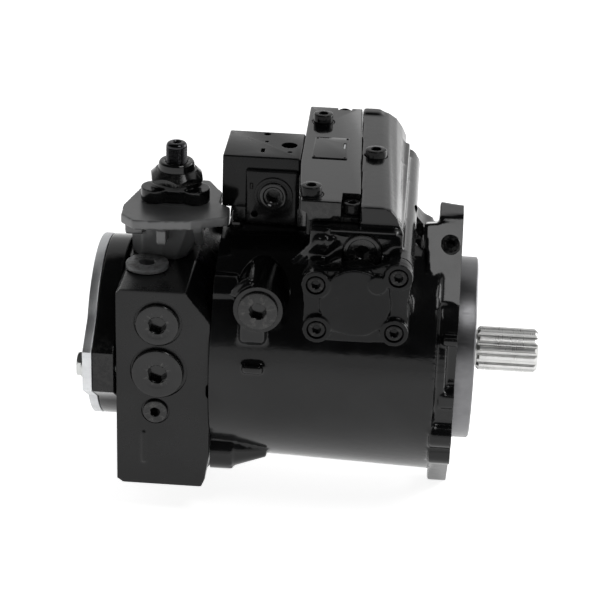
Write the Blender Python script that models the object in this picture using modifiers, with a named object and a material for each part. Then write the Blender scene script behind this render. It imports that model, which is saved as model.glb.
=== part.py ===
"""Variable axial piston pump for closed circuits: swashplate type, with a
two-bolt mounting flange, a splined drive shaft, a transverse stroking
cylinder with its control module on top, a port plate with relief valves, a
pressure valve with an adjusting spindle, and a gerotor boost pump behind a
covered through drive.

Lengths below are in millimetres from the pump datum: the point where the
shaft axis meets the face of the mounting flange, with +X out along the shaft
end and +Z up. place() moves the datum so that the model stands on Z = 0 with
its bounding box centred on the origin, and turns millimetres into metres.
"""
import math

import bmesh
import bpy
from mathutils import Matrix, Vector

MM = 0.001
NAME = "axial_piston_pump"

# ---- where the datum stands in the model's frame
DATUM_X = 99.0
AXIS_HEIGHT = 106.5

# ---- mounting flange, two bolts, 127 mm pilot
PILOT_R = 63.5
PILOT_LENGTH = 12.7
EAR_HOLE_Z = 90.5
EAR_HOLE_R = 8.75
EAR_R = 16.0
EAR_THICK = 13.0
UPPER_EAR_THICK = 27.0
# the ears' straight sides are tangent to the flange's disc
EAR_SLOPE = math.asin((81.0 - EAR_R) / EAR_HOLE_Z)
EAR_BASE_Y, EAR_BASE_Z = 81.0 * math.cos(EAR_SLOPE), 81.0 * math.sin(EAR_SLOPE)
EAR_PLUG = (-8.3, -26.0, 87.7)
FLANGE_R = 81.0
FLANGE_THICK = 13.0

# ---- drive shaft
SPLINE_TEETH = 14
SPLINE_TIP_R = 15.6
SPLINE_ROOT_R = 13.9
SPLINE_START = 16.0
SHAFT_END = 58.0
SHAFT_REAR = -241.5
SEAL_BORE_R = 21.0
BEARING_BORE_R = 26.3

# ---- main housing
BARREL_REAR_R = 82.5
BARREL_FRONT_R = 88.5
HOUSING_REAR = -164.4
CAVITY_R = 69.0
FRONT_WALL = -34.0
LUG_R = 14.0
LUG_Y = 58.0
LUG_Z = 64.0
TOWER_X0, TOWER_X1 = -100.0, -37.0
TOWER_Y = 84.0
TOWER_TOP = 119.7

# ---- stroking cylinder, along Y
SERVO_X, SERVO_Z = -68.0, 77.0
SERVO_BORE_R = 24.0
SERVO_PISTON_R = 23.6
SERVO_BOSS_R = 29.5
SERVO_FACE_Y = 96.0
SERVO_COVER_Y = 108.0
COVER_SCREWS = ((-93.5, 90.0), (-92.0, 58.5), (-42.0, 59.0), (-41.0, 98.0))
COVER_LOBE_R = 9.5

# ---- rotating group
BLOCK_R = 43.0
BLOCK_X0, BLOCK_X1 = -158.0, -112.0
PISTONS = 9
PITCH_R = 30.0
PISTON_R = 8.0
PISTON_BORE_R = 8.35
SLIPPER_R = 9.7
SWIVEL_X = -86.0
CRADLE_R = 48.0

# ---- port plate
PORT_X0, PORT_X1 = -228.0, -164.7
PORT_Y = 74.0
PORT_Z0, PORT_Z1 = -84.5, 63.0
WORK_PORT_X, WORK_PORT_Z, WORK_PORT_R = -197.0, 34.0, 10.0
SUCTION_X, SUCTION_Y = -197.0, 2.0
SUCTION_R, SUCTION_BOSS_R = 12.7, 26.0
NEAR_PLUG_X = -200.0
UPPER_PLUG_Z, LOWER_PLUG_Z, GAUGE_PLUG_Z = 39.0, 2.6, -26.3

# ---- rear: through drive, boost pump and cover
DRIVE_X0, DRIVE_X1 = -243.7, -228.3
REAR_R = 61.5
REAR_EAR_Y = 78.0
REAR_EAR_Z = 15.0
REAR_BOLT_Y = 62.0
COVER_X0, COVER_X1 = -250.5, -244.0
RING_R = 30.0
ROTOR_E = 2.6
ROTOR_PINS = 7
ROTOR_PITCH_R = 21.0
ROTOR_PIN_R = 5.2

# ---- control module and valve
PLATE_Z0, PLATE_Z1 = 120.0, 134.0
VALVE_X, VALVE_Y = -197.5, 3.0


def place(x, y, z):
    return Vector(((x + DATUM_X) * MM, y * MM, (z + AXIS_HEIGHT) * MM))


for old in list(bpy.data.objects):
    bpy.data.objects.remove(old, do_unlink=True)
PARTS = bpy.data.collections.new(NAME)
bpy.context.scene.collection.children.link(PARTS)

# axis letter -> columns that take local x, y, z to the model's axes, so that
# local z runs along that axis
TURN = {
    "X": Matrix(((0, 0, 1), (1, 0, 0), (0, 1, 0))),
    "Y": Matrix(((0, 1, 0), (0, 0, 1), (1, 0, 0))),
    "Z": Matrix(((1, 0, 0), (0, 1, 0), (0, 0, 1))),
}


def seat(mesh, axis, shift=(0, 0, 0)):
    """Turn a mesh in millimetres about its own axes onto AXIS, and put it in the model's frame."""
    m = TURN[axis].to_4x4()
    mesh.transform(m)
    mesh.transform(Matrix.Translation(shift))
    mesh.transform(Matrix.Translation((DATUM_X, 0, AXIS_HEIGHT)))
    mesh.transform(Matrix.Scale(MM, 4))


def made(mesh, name="piece"):
    obj = bpy.data.objects.new(name, mesh)
    PARTS.objects.link(obj)
    return obj


def from_bmesh(bm, axis, shift=(0, 0, 0)):
    mesh = bpy.data.meshes.new("piece")
    bm.to_mesh(mesh)
    bm.free()
    seat(mesh, axis, shift)
    return made(mesh)


def centre_of(axis, a, b):
    return {"X": (0, a, b), "Y": (a, 0, b), "Z": (a, b, 0)}[axis]


def cyl(axis, a, b, lo, hi, r, r2=None, seg=18, turn=0.0):
    """Cylinder or cone along AXIS. (a, b) are its other two coordinates, r is its radius at lo."""
    bm = bmesh.new()
    bmesh.ops.create_cone(
        bm,
        cap_ends=True,
        segments=seg,
        radius1=r,
        radius2=r if r2 is None else r2,
        depth=hi - lo,
        matrix=Matrix.Translation((0, 0, (hi + lo) / 2)) @ Matrix.Rotation(turn, 4, "Z"),
    )
    return from_bmesh(bm, axis, centre_of(axis, a, b))


def box(x0, x1, y0, y1, z0, z1, chamfer=0.0):
    bm = bmesh.new()
    bmesh.ops.create_cube(
        bm,
        size=1.0,
        matrix=Matrix.Translation(((x0 + x1) / 2, (y0 + y1) / 2, (z0 + z1) / 2))
        @ Matrix.Diagonal((x1 - x0, y1 - y0, z1 - z0, 1)),
    )
    if chamfer:
        bmesh.ops.bevel(bm, geom=bm.edges[:], offset=chamfer, segments=1, affect="EDGES")
    return from_bmesh(bm, "Z")


def plate(axis, outline, lo, hi, holes=()):
    """Flat outline extruded along AXIS. Points are (y, z), (x, z) or (x, y) for X, Y and Z."""
    curve = bpy.data.curves.new("outline", "CURVE")
    curve.dimensions = "2D"
    curve.fill_mode = "BOTH"
    curve.extrude = (hi - lo) / 2
    for points in (outline, *holes):
        spline = curve.splines.new("POLY")
        spline.points.add(len(points) - 1)
        spline.use_cyclic_u = True
        for at, (u, v) in zip(spline.points, points):
            at.co = (v, u, 0, 1) if axis == "Y" else (u, v, 0, 1)
    guide = bpy.data.objects.new("outline", curve)
    PARTS.objects.link(guide)
    graph = bpy.context.evaluated_depsgraph_get()
    mesh = bpy.data.meshes.new_from_object(guide.evaluated_get(graph))
    bpy.data.objects.remove(guide, do_unlink=True)
    bm = bmesh.new()
    bm.from_mesh(mesh)
    bmesh.ops.remove_doubles(bm, verts=bm.verts, dist=0.0001)
    bmesh.ops.recalc_face_normals(bm, faces=bm.faces)
    bmesh.ops.translate(bm, verts=bm.verts, vec=(0, 0, (hi + lo) / 2))
    return from_bmesh(bm, axis)


def turned(axis, a, b, profile, seg=18, closed=False):
    """Profile of (distance along AXIS, radius) turned about the line through (a, b)."""
    mesh = bpy.data.meshes.new("profile")
    n = len(profile)
    mesh.from_pydata(
        [(r, 0, t) for t, r in profile],
        [(i, (i + 1) % n) for i in range(n if closed else n - 1)],
        [],
    )
    obj = made(mesh)
    screw = obj.modifiers.new("turn", "SCREW")
    screw.axis = "Z"
    screw.steps = screw.render_steps = seg
    screw.use_merge_vertices = True
    screw.merge_threshold = 0.0001
    graph = bpy.context.evaluated_depsgraph_get()
    out = bpy.data.meshes.new_from_object(obj.evaluated_get(graph))
    bpy.data.objects.remove(obj, do_unlink=True)
    bm = bmesh.new()
    bm.from_mesh(out)
    bmesh.ops.remove_doubles(bm, verts=bm.verts, dist=0.0001)
    bmesh.ops.recalc_face_normals(bm, faces=bm.faces)
    return from_bmesh(bm, axis, centre_of(axis, a, b))


def shape(target, others, operation):
    for other in others:
        boolean = target.modifiers.new("shape", "BOOLEAN")
        boolean.operation = operation
        boolean.solver = "EXACT"
        boolean.object = other
    graph = bpy.context.evaluated_depsgraph_get()
    mesh = bpy.data.meshes.new_from_object(target.evaluated_get(graph))
    target.modifiers.clear()
    target.data = mesh
    for other in others:
        bpy.data.objects.remove(other, do_unlink=True)
    return target


def join(target, *others):
    return shape(target, others, "UNION")


def cut(target, *others):
    return shape(target, others, "DIFFERENCE")


def ring(cx, cy, r, n=24, start=0.0):
    return [
        (cx + r * math.cos(start + 2 * math.pi * i / n), cy + r * math.sin(start + 2 * math.pi * i / n))
        for i in range(n)
    ]


def arc(cx, cy, r, a0, a1, n):
    return [
        (cx + r * math.cos(math.radians(a0 + (a1 - a0) * i / n)), cy + r * math.sin(math.radians(a0 + (a1 - a0) * i / n)))
        for i in range(n + 1)
    ]


def rounded(points, radius, n=3):
    """A closed outline with its corners rounded."""
    out = []
    for i, p in enumerate(points):
        p = Vector(p)
        a, b = Vector(points[i - 1]) - p, Vector(points[(i + 1) % len(points)]) - p
        half = a.angle(b) / 2
        reach = min(radius / math.tan(half), a.length * 0.48, b.length * 0.48)
        a.normalize(), b.normalize()
        for k in range(n + 1):
            t = k / n
            start, end = p + a * reach, p + b * reach
            out.append(tuple((1 - t) ** 2 * start + 2 * t * (1 - t) * p + t * t * end))
    return out


def finish(obj, name, colour, roughness, metallic, origin):
    """Name a piece, give it its own material, and put its origin at a point of the datum frame."""
    obj.name = name
    obj.data.name = name
    at = place(*origin)
    obj.data.transform(Matrix.Translation(-at))
    obj.location = at
    look = bpy.data.materials.new(name)
    look.use_nodes = True
    shader = look.node_tree.nodes["Principled BSDF"]
    shader.inputs["Base Color"].default_value = (*colour, 1.0)
    shader.inputs["Roughness"].default_value = roughness
    shader.inputs["Metallic"].default_value = metallic
    obj.data.materials.clear()
    obj.data.materials.append(look)
    obj.data.shade_smooth()
    obj.data.set_sharp_from_angle(angle=math.radians(35))
    return obj


def on_ear(obj):
    """Tilt a mesh built along Y so that it stands square on the straight side of the upper ear."""
    pivot = Matrix.Translation(place(*EAR_PLUG))
    obj.data.transform(pivot @ Matrix.Rotation(-EAR_SLOPE, 4, "X") @ pivot.inverted())
    return obj


BLACK = ((0.012, 0.012, 0.013), 0.25, 0.0)
DARK_STEEL = ((0.05, 0.05, 0.055), 0.35, 0.9)
STEEL = ((0.55, 0.55, 0.56), 0.3, 1.0)
GROUND = ((0.65, 0.65, 0.66), 0.22, 1.0)
BRONZE = ((0.55, 0.36, 0.16), 0.35, 1.0)
ALUMINIUM = ((0.75, 0.76, 0.77), 0.35, 1.0)
RUBBER = ((0.02, 0.02, 0.02), 0.75, 0.0)

# =====================================================================
# main housing: barrel, front flange with its ears and pilot, lugs at the
# joint, and the tower that holds the stroking cylinder
# =====================================================================
housing = cyl("X", 0, 0, HOUSING_REAR, -13.5, BARREL_REAR_R, BARREL_FRONT_R, seg=40)
ears = [
    (EAR_BASE_Y, -EAR_BASE_Z), (EAR_BASE_Y, EAR_BASE_Z),
    *arc(0, EAR_HOLE_Z, EAR_R, 46, 134, 8),
    (-EAR_BASE_Y, EAR_BASE_Z), (-EAR_BASE_Y, -EAR_BASE_Z),
    *arc(0, -EAR_HOLE_Z, EAR_R, 226, 314, 8),
]
additions = [
    cyl("X", 0, 0, -FLANGE_THICK - 3, 0.0, FLANGE_R, seg=32),
    plate("X", ears, -EAR_THICK, 0.0),
    cyl("X", 0, 0, -4.0, PILOT_LENGTH, PILOT_R, seg=32),
    # thick root of the upper ear
    plate("X", [(-39, 50), (39, 50), (39, 74.7), (13.4, 99.5), (-13.4, 99.5), (-39, 74.7)], -UPPER_EAR_THICK, -1.0),
    # tower around the stroking cylinder
    box(TOWER_X0, TOWER_X1, -TOWER_Y, TOWER_Y, 20.0, TOWER_TOP),
    cyl("Y", SERVO_X, SERVO_Z, -SERVO_FACE_Y, SERVO_FACE_Y, SERVO_BOSS_R, seg=24),
    # cast strip beside the control plate, with its rounded shoulder
    plate("Y", [(-67.7, 90), (-67.7, 134), (-54, 134), (-48.5, 131.5), (-45.5, 126), (-36.5, 96)], -80.0, 84.0),
    plate("Y", [(-67.7, 114), (-67.7, 134), (-54, 134), (-48.5, 131.5), (-45.5, 126), (-42.0, 114)], 82.0, 104.0),
    # web that runs down from the tower to the flange ear
    plate("Y", [(-50, 60), (-50, 124), (-44, 116), (-34, 99), (-26, 92), (-20, 90), (-20, 60)], -24.0, 34.0),
    # pad under the control block
    box(-160.0, -104.0, -2.0, 46.0, 50.0, 85.6),
    # boss of the flushing port on the near shoulder
    cyl("Y", -132.0, 59.2, -85.0, -20.0, 16.0, seg=18),
]
for sy in (-1, 1):
    for sz in (-1, 1):
        additions.append(cyl("X", sy * LUG_Y, sz * LUG_Z, HOUSING_REAR, -148.0, LUG_R, seg=12))
        additions.append(cyl("X", sy * (LUG_Y - 1), sz * (LUG_Z - 1), -148.5, -128.0, LUG_R - 1, 6.0, seg=12))
for x, z in COVER_SCREWS:
    additions.append(cyl("Y", x, z, -SERVO_FACE_Y, SERVO_FACE_Y, COVER_LOBE_R, seg=12))
join(housing, *additions)

cut(
    housing,
    cyl("X", 0, 0, -180.0, FRONT_WALL, CAVITY_R, seg=32),
)
# seats of the cradle, above and below the shaft
join(
    housing,
    box(-66.0, FRONT_WALL + 3, -31.0, 31.0, 25.0, 46.0),
    box(-66.0, FRONT_WALL + 3, -31.0, 31.0, -46.0, -25.0),
)
cutters = [
    cyl("Z", SWIVEL_X, 0, -60.0, 60.0, CRADLE_R + 3.2, seg=48),
    cyl("X", 0, 0, -70.0, -12.0, BEARING_BORE_R, seg=24),
    cyl("X", 0, 0, -13.0, 20.0, SEAL_BORE_R, seg=24),
    cyl("Y", SERVO_X, SERVO_Z, -120.0, 120.0, SERVO_BORE_R, seg=24),
    # well of the feedback lever, open at the top of the tower
    box(-76.0, -70.0, -9.0, 9.0, 90.0, 150.0),
    # threaded seat of the plug on the flushing port
    cyl("Y", -132.0, 59.2, -100.0, -70.0, 9.0, seg=14),
    # seat of the ring plug on the near face of the tower
    cyl("Y", -64.4, 107.6, -100.0, -70.0, 9.6, seg=14),
    cyl("Y", -64.4, 107.6, -120.0, -83.0, 12.4, seg=20),
    # seat of the small plug on the root of the upper ear
    on_ear(cyl("Y", EAR_PLUG[0], EAR_PLUG[2], EAR_PLUG[1] - 20.0, EAR_PLUG[1] + 14.0, 4.6, seg=10)),
    # pocket and thread of the screw in the cast strip
    cyl("Z", -58.0, 12.0, 121.0, 140.0, 7.4, seg=12),
    cyl("Z", -58.0, 12.0, 106.0, 122.0, 3.6, seg=10),
]
# bolt holes of the ears, with the pocket behind each for the bolt's head
for z, back in ((-EAR_HOLE_Z, -EAR_THICK), (EAR_HOLE_Z, -UPPER_EAR_THICK)):
    cutters.append(cyl("X", 0, z, -45.0, 20.0, EAR_HOLE_R, seg=16))
    cutters.append(cyl("X", 0, z, -45.0, back, 15.5, seg=16))
for sy in (-1, 1):
    for x, z in COVER_SCREWS:
        lo, hi = sorted((sy * 120.0, sy * 82.0))
        cutters.append(cyl("Y", x, z, lo, hi, 3.4, seg=8))
for x, y in ((-101.0, -62.0), (-102.0, 76.0), (-74.0, -64.0)):
    cutters.append(cyl("Z", x, y, 104.0, 130.0, 3.4, seg=8))
cut(housing, *cutters)
finish(housing, "main_housing", *BLACK, (0, 0, 0))

# =====================================================================
# port plate with the work ports on the far side and the suction port below
# =====================================================================
outline = [
    (PORT_X0, PORT_Z0 + 3), (PORT_X0 + 3, PORT_Z0), (PORT_X1 - 3, PORT_Z0), (PORT_X1, PORT_Z0 + 3),
    (PORT_X1, 41.5), (-181.0, PORT_Z1), (PORT_X0 + 3, PORT_Z1), (PORT_X0, PORT_Z1 - 3),
]
port_plate = plate("Y", outline, -PORT_Y, PORT_Y)
join(
    port_plate,
    cyl("Z", SUCTION_X, SUCTION_Y, -AXIS_HEIGHT, -70.0, SUCTION_BOSS_R, seg=24),
)
cutters = [
    cyl("X", 0, 0, -240.0, -150.0, 14.0, seg=18),
    cyl("X", 0, 0, -181.0, -150.0, BEARING_BORE_R, seg=24),
    cyl("Z", SUCTION_X, SUCTION_Y, -120.0, -58.0, SUCTION_R, seg=18),
    # cavities of the two relief valves and the gauge port
    turned("Y", NEAR_PLUG_X, UPPER_PLUG_Z, [(-90, 0), (-90, 12.3), (-68, 12.3), (-68, 9.3), (-34, 9.3), (-34, 0)]),
    turned("Y", NEAR_PLUG_X, LOWER_PLUG_Z, [(-90, 0), (-90, 14.3), (-68, 14.3), (-68, 9.3), (-34, 9.3), (-34, 0)]),
    cyl("Y", NEAR_PLUG_X - 1.4, GAUGE_PLUG_Z, -90.0, -60.0, 6.3, seg=12),
    # threaded seat of the plug on top
    cyl("Z", -212.5, -34.0, 50.0, 80.0, 10.3, seg=14),
    # pressure line up to the pressure valve
    cyl("Z", VALVE_X, 22.0, 34.0, 80.0, 4.0, seg=10),
]
for z in (WORK_PORT_Z, -WORK_PORT_Z):
    cutters.append(cyl("Y", WORK_PORT_X, z, -6.0, 90.0, WORK_PORT_R, seg=18))
    cutters.append(cyl("X", 0, z * 29.0 / 34.0, WORK_PORT_X, -150.0, 6.5, seg=12))
    for dx, dz in ((-11, -13), (11, -13), (-11, 13), (11, 13)):
        if abs(z + dz) < 60:
            cutters.append(cyl("Y", WORK_PORT_X + 1.7 * dx, z + dz, 58.0, 90.0, 4.2, seg=10))
for y in (-REAR_BOLT_Y, REAR_BOLT_Y):
    cutters.append(cyl("X", y, 0, -240.0, -216.0, 4.9, seg=10))
cut(port_plate, *cutters)
finish(port_plate, "port_plate", *BLACK, (-196.0, 0, 0))

# =====================================================================
# through drive housing with the boost pump chamber, cover plate and bolts
# =====================================================================


def rear_outline(r, y, z, n=10):
    """Round body with a flat-ended ear each side."""
    start = math.degrees(math.asin(z / r))
    return [
        *arc(0, 0, r, start + 14, 166 - start, n), (-y, z), (-y, -z),
        *arc(0, 0, r, 194 + start, 346 - start, n), (y, -z), (y, z),
    ]


drive = plate("X", rear_outline(REAR_R, REAR_EAR_Y, REAR_EAR_Z), DRIVE_X0, DRIVE_X1)
cut(
    drive,
    cyl("X", 0, 0, -250.0, -220.0, 13.0, seg=18),
    cyl("X", 0, ROTOR_E, -250.0, -232.0, RING_R + 0.3, seg=32),
    cyl("X", -REAR_BOLT_Y, 0, -250.0, -220.0, 4.9, seg=10),
    cyl("X", REAR_BOLT_Y, 0, -250.0, -220.0, 4.9, seg=10),
)
finish(drive, "through_drive_flange", *BLACK, (-236.0, 0, 0))

cover = plate("X", rear_outline(REAR_R, REAR_EAR_Y, REAR_EAR_Z), COVER_X0, COVER_X1)
cut(
    cover,
    cyl("X", -REAR_BOLT_Y, 0, -260.0, -240.0, 5.2, seg=12),
    cyl("X", REAR_BOLT_Y, 0, -260.0, -240.0, 5.2, seg=12),
)
finish(cover, "rear_cover_plate", *ALUMINIUM, (-247.0, 0, 0))
for name, y in (("rear_bolt_near", -REAR_BOLT_Y), ("rear_bolt_far", REAR_BOLT_Y)):
    bolt = join(
        cyl("X", y, 0, -256.0, COVER_X0 - 0.3, 9.0, seg=6),
        cyl("X", y, 0, COVER_X0 - 1.0, -218.0, 4.4, seg=10),
    )
    finish(bolt, name, *STEEL, (-250.0, y, 0))

# =====================================================================
# drive shaft with its splined end, bearings and seal
# =====================================================================
shaft = turned(
    "X", 0, 0,
    [
        (SHAFT_REAR, 0), (SHAFT_REAR, 8.5), (-231.5, 8.5), (-231.5, 12.0), (-180.6, 12.0),
        (-180.6, 15.9), (-166.0, 15.9), (-166.0, 14.0), (-158.5, 14.0), (-158.5, 15.3),
        (-112.0, 15.3), (-112.0, 14.0), (-35.0, 14.0), (-35.0, 15.8), (-12.0, 15.8),
        (-12.0, 14.6), (11.0, 14.6), (12.5, 12.6), (17.0, 12.6), (17.0, 0),
    ],
    seg=18,
)
teeth = []
for i in range(SPLINE_TEETH):
    for turn, r in ((-0.30, SPLINE_ROOT_R), (-0.17, SPLINE_TIP_R), (0.17, SPLINE_TIP_R), (0.30, SPLINE_ROOT_R)):
        a = 2 * math.pi * (i + turn) / SPLINE_TEETH
        teeth.append((r * math.cos(a), r * math.sin(a)))
join(
    shaft,
    plate("X", teeth, SPLINE_START, SHAFT_END - 1.5),
    cyl("X", 0, 0, SHAFT_END - 2.5, SHAFT_END, 14.2, 13.0, seg=20),
)
finish(shaft, "drive_shaft", *GROUND, (0, 0, 0))


def race(x0, x1, inner, outer, seg=20):
    return turned("X", 0, 0, [(x1, inner), (x1, outer), (x0, outer), (x0, inner)], seg=seg, closed=True)


finish(race(-32.0, -13.5, 16.2, 26.0), "front_bearing", *STEEL, (-23.0, 0, 0))
finish(race(-180.5, -166.5, 16.2, 26.0), "rear_bearing", *STEEL, (-173.0, 0, 0))
finish(race(-5.0, 6.0, 15.0, 20.7), "shaft_seal", *RUBBER, (0, 0, 0))

# =====================================================================
# rotating group: cylinder block, pistons with their slippers, retaining
# plate, valve plate
# =====================================================================
bores = [
    (PITCH_R * math.cos(2 * math.pi * i / PISTONS), PITCH_R * math.sin(2 * math.pi * i / PISTONS))
    for i in range(PISTONS)
]
block = plate(
    "X", ring(0, 0, BLOCK_R, 30), BLOCK_X0 + 6, BLOCK_X1,
    [ring(0, 0, 15.8, 18), *[ring(y, z, PISTON_BORE_R, 10) for y, z in bores]],
)
join(
    block,
    plate(
        "X", ring(0, 0, BLOCK_R, 30), BLOCK_X0, BLOCK_X0 + 6.5,
        [ring(0, 0, 15.8, 18), *[ring(y, z, 5.0, 6) for y, z in bores]],
    ),
)
finish(block, "cylinder_block", *STEEL, (-135.0, 0, 0))

for i, (y, z) in enumerate(bores):
    piston = turned(
        "X", y, z,
        [
            (-147.0, 0), (-147.0, PISTON_R), (-104.0, PISTON_R), (-102.0, 4.6), (-98.5, 4.6),
            (-97.5, 7.6), (-90.3, 7.6), (-90.3, SLIPPER_R), (-86.4, SLIPPER_R), (-86.4, 0),
        ],
        seg=10,
    )
    finish(piston, f"piston_{i + 1}", *STEEL, (-120.0, y, z))

retainer = plate(
    "X", ring(0, 0, 42.5, 30), -93.6, -90.7,
    [ring(0, 0, 17.0, 18), *[ring(y, z, 8.4, 10) for y, z in bores]],
)
finish(retainer, "retaining_plate", *STEEL, (-92.0, 0, 0))


def kidney(middle, half, r0, r1, n=8):
    return arc(0, 0, r1, middle - half, middle + half, n) + arc(0, 0, r0, middle + half, middle - half, n)


valve_plate = plate(
    "X", ring(0, 0, 42.0, 30), -164.2, -158.4,
    [ring(0, 0, 17.0, 18), kidney(90, 62, 26, 34), kidney(270, 62, 26, 34)],
)
finish(valve_plate, "valve_plate", *BRONZE, (-161.0, 0, 0))

# =====================================================================
# swashplate at neutral in its cradle bearings, and the stroking piston
# =====================================================================
swash = cyl("Z", SWIVEL_X, 0, -44.0, 44.0, CRADLE_R, seg=44)
join(swash, box(-73.0, -63.0, -5.0, 5.0, 36.0, 84.0))
cut(
    swash,
    box(-160.0, SWIVEL_X, -80.0, 80.0, -80.0, 50.0),
    box(-100.0, -20.0, 44.5, 80.0, -80.0, 80.0),
    box(-100.0, -20.0, -80.0, -44.5, -80.0, 80.0),
    cyl("X", 0, 0, -120.0, 0.0, 19.0, seg=18),
)
finish(swash, "swashplate", *STEEL, (SWIVEL_X, 0, 0))


def shell(r0, r1, half, n=10):
    return arc(SWIVEL_X, 0, r1, -half, half, n) + arc(SWIVEL_X, 0, r0, half, -half, n)


for name, z0, z1 in (("cradle_bearing_upper", 27.0, 43.0), ("cradle_bearing_lower", -43.0, -27.0)):
    finish(plate("Z", shell(CRADLE_R + 0.4, CRADLE_R + 2.7, 33), z0, z1), name, *BRONZE, (SWIVEL_X + CRADLE_R, 0, (z0 + z1) / 2))

servo = turned("Y", SERVO_X, SERVO_Z, [(-46, 0), (-46, 22), (-44, SERVO_PISTON_R), (44, SERVO_PISTON_R), (46, 22), (46, 0)], seg=24)
cut(servo, box(-100.0, -30.0, -5.5, 5.5, 30.0, 88.0))
finish(servo, "stroking_piston", *STEEL, (SERVO_X, 0, SERVO_Z))

# =====================================================================
# covers of the stroking cylinder, each held by four cap screws
# =====================================================================


def lobed_cover():
    points = [
        *arc(-93.5, 90.0, COVER_LOBE_R, 200, 60, 6), (-80.0, 104.0), (-52.0, 108.5),
        *arc(-41.0, 98.0, COVER_LOBE_R, 110, -20, 6), (-34.5, 78.0),
        *arc(-42.0, 59.0, COVER_LOBE_R, 20, -110, 6), (-56.0, 49.5), (-78.0, 49.0),
        *arc(-92.0, 58.5, COVER_LOBE_R, 290, 170, 6), (-101.0, 74.0),
    ]
    return points


def cap_screw(axis, a, b, head0, head1, tip, r_head, r_shank, socket_depth, seg=12):
    """Socket head screw: head from head0 (seat) to head1 (top), shank to tip."""
    out = 1 if head1 > head0 else -1
    lo, hi = sorted((head0, head1))
    s_lo, s_hi = sorted((tip, head0 + out * 0.5))
    body = join(cyl(axis, a, b, lo, hi, r_head, seg=seg), cyl(axis, a, b, s_lo, s_hi, r_shank, seg=8))
    c_lo, c_hi = sorted((head1 - out * socket_depth, head1 + out * 5))
    return cut(body, cyl(axis, a, b, c_lo, c_hi, r_head * 0.52, seg=6))


for side, sy in (("near", -1), ("far", 1)):
    y0, y1 = sorted((sy * (SERVO_FACE_Y + 0.3), sy * SERVO_COVER_Y))
    lid = plate("Y", lobed_cover(), y0, y1)
    s0, s1 = sorted((sy * (SERVO_FACE_Y - 8.0), sy * (SERVO_FACE_Y + 2.0)))
    join(lid, cyl("Y", SERVO_X, SERVO_Z, s0, s1, SERVO_BORE_R - 0.4, seg=20))
    holes = []
    for x, z in COVER_SCREWS:
        a0, a1 = sorted((sy * 90.0, sy * 120.0))
        holes.append(cyl("Y", x, z, a0, a1, 3.4, seg=8))
        b0, b1 = sorted((sy * (SERVO_COVER_Y - 5.5), sy * 120.0))
        holes.append(cyl("Y", x, z, b0, b1, 6.0, seg=14, turn=0.1))
    cut(lid, *holes)
    finish(lid, f"servo_cover_{side}", *BLACK, (SERVO_X, sy * SERVO_FACE_Y, SERVO_Z))
    for i, (x, z) in enumerate(COVER_SCREWS):
        screw = cap_screw("Y", x, z, sy * (SERVO_COVER_Y - 5.2), sy * (SERVO_COVER_Y + 0.6), sy * 84.0, 5.6, 3.0, 3.4, seg=10)
        finish(screw, f"cover_screw_{side}_{i + 1}", *DARK_STEEL, (x, sy * SERVO_COVER_Y, z))

# =====================================================================
# control module: plate on the tower, block on the barrel, spool and plugs
# =====================================================================
control = plate("Z", [(-107.0, -74.0), (-68.0, -74.0), (-68.0, 104.0), (-112.0, 104.0), (-112.0, -8.0)], PLATE_Z0, PLATE_Z1)
cut(
    control,
    cyl("Y", -88.0, 127.0, -58.0, 120.0, 5.3, seg=12),
    cyl("Z", -101.0, -62.0, 110.0, 140.0, 3.4, seg=8),
    cyl("Z", -74.0, -64.0, 110.0, 140.0, 3.4, seg=8),
    # stepped corner that the third screw stands in
    box(-80.8, -60.0, -90.0, -57.2, 123.5, 140.0),
    cyl("Z", -102.0, 76.0, 110.0, 140.0, 3.4, seg=8),
)
finish(control, "control_plate", *BLACK, (-88.0, 15.0, PLATE_Z0))
for i, (x, y, seat_z) in enumerate(((-101.0, -62.0, 134.0), (-102.0, 76.0, 134.0), (-74.0, -64.0, 123.5))):
    screw = cap_screw("Z", x, y, seat_z + 0.3, seat_z + 6.3, 106.0, 5.2, 3.0, 3.2)
    finish(screw, f"control_screw_{i + 1}", *DARK_STEEL, (x, y, seat_z))
screw = cap_screw("Z", -58.0, 12.0, 121.4, 129.0, 108.0, 6.6, 3.2, 3.6)
finish(screw, "shoulder_screw", *DARK_STEEL, (-58.0, 12.0, 121.0))

side_block = join(
    box(-164.8, -112.4, -2.0, 47.0, 97.0, 134.0, chamfer=0.8),
    box(-158.0, -113.4, 0.5, 45.0, 86.0, 98.0),
)
cut(side_block, turned("Y", -130.0, 108.0, [(-20, 0), (-20, 8.3), (16, 8.3), (16, 0)], seg=14))
finish(side_block, "control_block", *BLACK, (-136.0, 20.0, 86.0))

spool = turned(
    "Y", -88.0, 127.0,
    [(-52, 0), (-52, 5), (-38, 5), (-38, 3.4), (-20, 3.4), (-20, 5), (-4, 5), (-4, 3.4), (14, 3.4), (14, 5), (34, 5), (34, 3.4),
     (52, 3.4), (52, 5), (66, 5), (66, 0)],
    seg=12,
)
finish(spool, "control_spool", *GROUND, (-88.0, 0.0, 127.0))
plug = join(cyl("Y", -88.0, 127.0, 74.0, 105.0, 4.9, seg=12), cyl("Y", -88.0, 127.0, 104.3, 108.0, 6.4, seg=6))
finish(plug, "spool_end_plug", *DARK_STEEL, (-88.0, 104.0, 127.0))

# =====================================================================
# screwed plugs
# =====================================================================


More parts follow.
